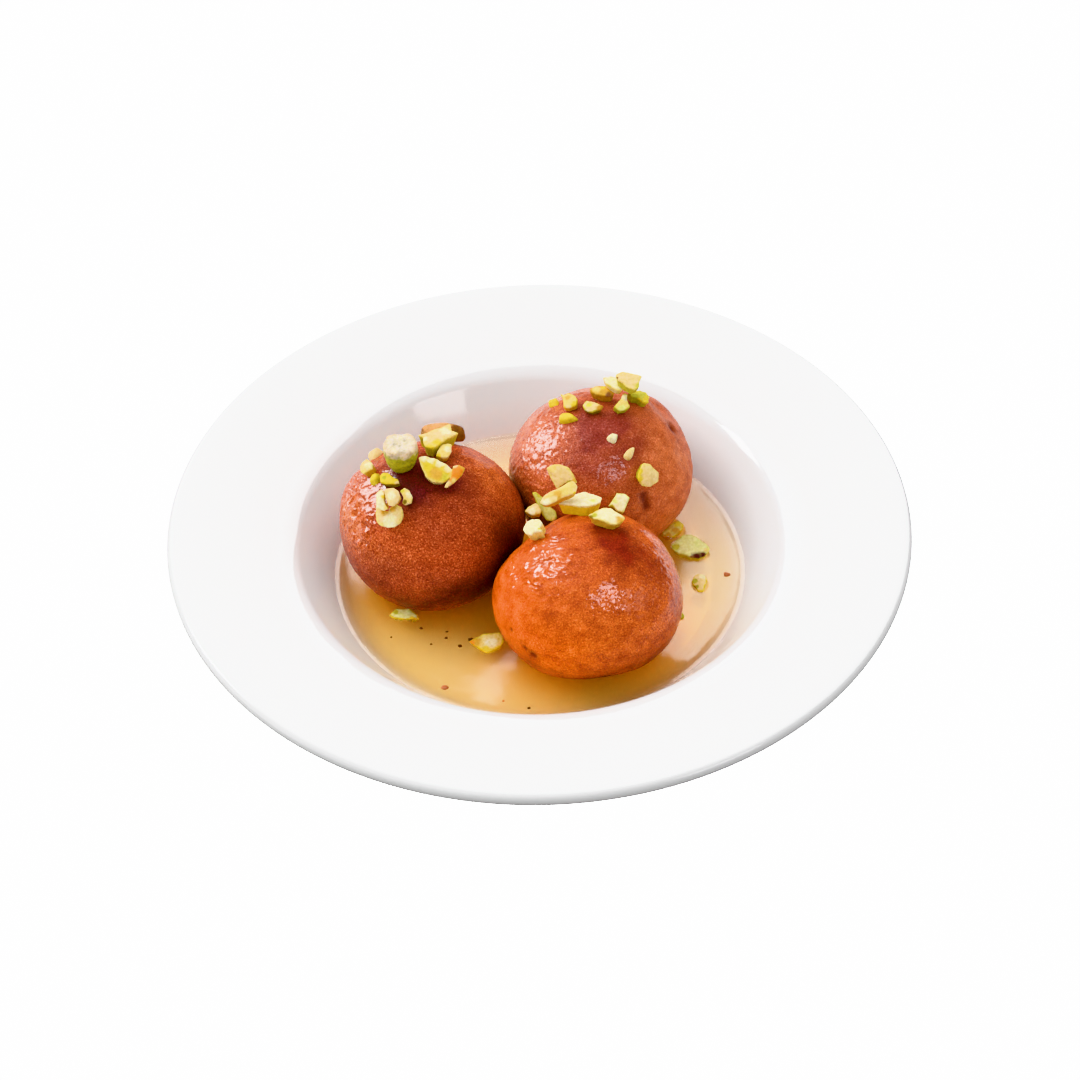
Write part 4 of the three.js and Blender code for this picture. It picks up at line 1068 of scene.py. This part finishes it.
def make_syrup():
    top_r = wall_radius(SYRUP_Z + WALL_RISE, INTO_GLAZE)
    low_z = FLOOR_Z - INTO_GLAZE
    rings = top_r * np.sin(np.linspace(0, math.pi / 2, POOL_RINGS + 1)[1:])
    angles = np.arange(POOL_SEGMENTS) * (2 * math.pi / POOL_SEGMENTS)
    x = (rings[:, None] * np.cos(angles)).ravel()
    y = (rings[:, None] * np.sin(angles)).ravel()
    z = np.minimum(pool_top(x, y), SYRUP_Z + HIGHEST_CREEP)
    under = [(top_r, SYRUP_Z + WALL_RISE - POOL_EDGE)]
    under += arc(fillet_r, fillet_z, WELL_FILLET + INTO_GLAZE, 270 + WALL_SLOPE, 270, 8)
    under += [(fillet_r * share, low_z) for share in (0.75, 0.5, 0.25)]
    bottom = [np.stack([r * np.cos(angles), r * np.sin(angles), np.full_like(angles, h)], -1)
              for r, h in under]
    ends = [[0, 0, SYRUP_Z], [0, 0, low_z]]
    points = np.concatenate([np.stack([x, y, z], -1), *bottom, ends])
    # Where shadow is painted into the syrup, near the dumplings.
    deep = np.zeros(len(points))
    deep[:len(x)] = np.clip(near_dumplings(x, y, SHADE_REACH), 0, 1)
    faces = loft_faces(POOL_RINGS + len(under), POOL_SEGMENTS)
    piece = add_mesh("syrup_pool", points, faces, syrup_material(), deep=deep)
    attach(piece, "root")
    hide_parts("syrup")


# Specks afloat: [x, y, size, colour].
DARK_SPECK = linear(92, 50, 20)
PINK_SPECK = linear(190, 116, 78)
SPECKS = [
    [-32.3, -21.3, 0.45, DARK_SPECK], [-25.4, -22.7, 0.35, DARK_SPECK],
    [-25.6, -24.9, 0.45, DARK_SPECK], [-29.6, -27.0, 0.35, DARK_SPECK],
    [-21.9, -28.0, 0.55, DARK_SPECK], [-40.3, -24.1, 0.3, DARK_SPECK],
    [-18.9, -25.9, 0.8, DARK_SPECK], [-25.8, -43.2, 1.0, PINK_SPECK],
    [-10.5, -48.4, 0.35, PINK_SPECK], [-3.8, -51.4, 0.45, DARK_SPECK],
    [50.9, -3.7, 0.9, PINK_SPECK], [37.0, -19.6, 1.4, GREEN],
]
SPECK_CELLS = 4


def make_specks():
    directions, quads = cube_sphere(SPECK_CELLS)
    parts, tints = [], []
    for number, (x, y, size, colour) in enumerate(SPECKS):
        lumpy = 1 + 0.35 * fractal(directions * 2 + number, 1.6, 2, 700 + number)
        shape = directions * lumpy[:, None] * np.array([1, 0.8, 0.5]) * size
        level = pool_top(np.array([x]), np.array([y]))[0]
        parts.append((shape + (x, y, level + 0.1 * size), quads))
        tints.append(np.broadcast_to(colour, (len(shape), 3)))
    points, faces = joined(parts)
    shader = Shader("specks")
    shader.set(Base_Color=shader.layer("tint", "Color"), Roughness=0.4)
    piece = add_mesh("syrup_specks", points, faces, shader.material, np.concatenate(tints))
    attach(piece, "root")


# ---- stage

FLOOR_SIZE = 6000.0
FLOOR_GLOW = 10.0
ROOM_LIGHT = 1.12
ROOM_SLANT = (-0.08, 0.24, 0.0)  # how much brighter the room is this way
ROOM_MIRRORED = 0.08

FLOOR_SHADES = (0.16, 0.16, 0.16), (0.2, 0.2, 0.2)
FLOOR_DROP = 0.2  # the floor lies this much below the plate's foot

WINDOW_DISTANCE = 900
WHITE = (1, 1, 1)

# A window gives light to all, or is what the glossy skins of some pieces mirror: name,
# azimuth, rise, (width, height), brightness, colour and those pieces.
WINDOWS = [
    ["window", -54, 44, (1000, 700), 3.0, WHITE, ()],
    ["near window seen", -50, 50, (230, 360), 52.0, WHITE, ["dumpling_front"]],
    ["left window seen", -60, 28, (420, 460), 22.0, WHITE, ["dumpling_left", "dumpling_back"]],
    ["glaze window seen", -66, 40, (190, 300), 26.0, WHITE, ["soup_plate"]],
    ["back window seen", 2, 44, (1700, 1050), 6.5, WHITE, ["syrup_pool", "soup_plate"]],
    ["side window seen", 135, 60, (240, 240), 18.0, (1.0, 0.84, 0.84), ["dumpling_front"]],
    ["side sheen seen", 105, 34, (520, 420), 3.0, (1.0, 0.72, 0.62), ["dumpling_front"]],
    ["wall window seen", 132, 35, (330, 260), 4.0, WHITE, ["soup_plate"]],
    ["far window seen", 155, 54, (300, 260), 10.0, (1.0, 0.84, 0.9), ["dumpling_back"]],
]


def add_camera():
    elevation, roll = math.radians(CAMERA_ELEVATION), math.radians(CAMERA_ROLL)
    away = np.array([0, -math.cos(elevation), math.sin(elevation)])
    right = np.array([1.0, 0, 0])
    up = np.array([0, math.sin(elevation), math.cos(elevation)])
    across = right * math.cos(roll) + up * math.sin(roll)
    upright = -right * math.sin(roll) + up * math.cos(roll)
    data = bpy.data.cameras.new("camera")
    data.lens = LENS
    data.sensor_width = SENSOR_WIDTH
    data.clip_start, data.clip_end = CAMERA_CLIP
    camera = bpy.data.objects.new("camera", data)
    place = (np.array(CAMERA_TARGET) + away * CAMERA_DISTANCE) * MM
    turn = Matrix(np.stack([across, upright, away], -1).tolist())
    camera.matrix_world = Matrix.Translation(place) @ turn.to_4x4()
    bpy.context.scene.collection.objects.link(camera)
    bpy.context.scene.camera = camera


def add_window(name, azimuth, rise, size, brightness, colour, mirroring):
    """A soft area light that looks at the plate. Its azimuth runs from +Y towards +X."""
    data = bpy.data.lights.new(name, "AREA")
    data.shape = "RECTANGLE"
    data.size, data.size_y = size[0] * MM, size[1] * MM
    data.energy = brightness * math.pi * data.size * data.size_y
    data.color = colour
    window = bpy.data.objects.new(name, data)
    outward = Vector(way(90 - azimuth, rise))
    window.location = outward * WINDOW_DISTANCE * MM + Vector((0, 0, PLATE_HEIGHT * MM))
    window.rotation_euler = outward.to_track_quat("Z", "Y").to_euler()
    window.visible_diffuse = not mirroring
    window.visible_glossy = bool(mirroring)
    if mirroring:
        receivers = bpy.data.collections.new(f"{name} reaches")
        for piece in mirroring:
            receivers.objects.link(bpy.data.objects[piece])
        window.light_linking.receiver_collection = receivers
    bpy.context.scene.collection.objects.link(window)


def add_floor():
    """A pale floor that the camera sees as white."""
    shader = Shader("floor")
    shader.set(Base_Color=shader.mix(shader.noise(1.0), *FLOOR_SHADES), Roughness=1.0,
               Specular_IOR_Level=0.0, Emission_Color=(FLOOR_GLOW, FLOOR_GLOW, FLOOR_GLOW),
               Emission_Strength=shader.node("ShaderNodeLightPath", "Is Camera Ray"))
    half = FLOOR_SIZE / 2
    corners = [(-half, -half), (half, -half), (half, half), (-half, half)]
    corners = [(x, y, -FLOOR_DROP) for x, y in corners]
    floor = add_mesh("floor", corners, [(0, 1, 2, 3)], shader.material)


def add_room():
    """Soft light from all round, of which glossy skins mirror little."""
    world = bpy.data.worlds.new("room")
    bpy.context.scene.world = world
    world.use_nodes = True
    room = Nodes(world.node_tree)
    facing = room.node("ShaderNodeTexCoord", "Generated")
    slant = room.node("ShaderNodeVectorMath", "Value", enumerate([facing, ROOM_SLANT]),
                      operation="DOT_PRODUCT")
    shaded = room.ramp(slant, -1, 1, 0, 2 * ROOM_LIGHT)
    light = room.tree.nodes["Background"].inputs
    room.put(light["Color"], WHITE)
    glossy = room.node("ShaderNodeLightPath", "Is Glossy Ray")
    room.put(light["Strength"], room.ramp(glossy, 0, 1, shaded, ROOM_MIRRORED))


# ---- all of it

add_camera()
make_plate()
make_syrup()
nut = nut_material()
for jamun_name, jamun_skin in SKINS.items():
    make_jamun(jamun_name, jamun_skin)
add_floor()
add_room()
for window_row in WINDOWS:
    add_window(*window_row)
bpy.context.scene.view_settings.view_transform = "Khronos PBR Neutral"
for jamun_name in FLAKES:
    make_flakes(jamun_name, nut)
for number, (nut_name, nut_row) in enumerate(SHARDS.items()):
    make_shard(nut_name, nut_row, SHARD_SEED + SEED_STEP * number, nut)
for number, (nut_name, nut_row) in enumerate(KERNELS.items()):
    make_kernel(nut_name, nut_row, KERNEL_SEED + SEED_STEP * number, nut)
make_specks()
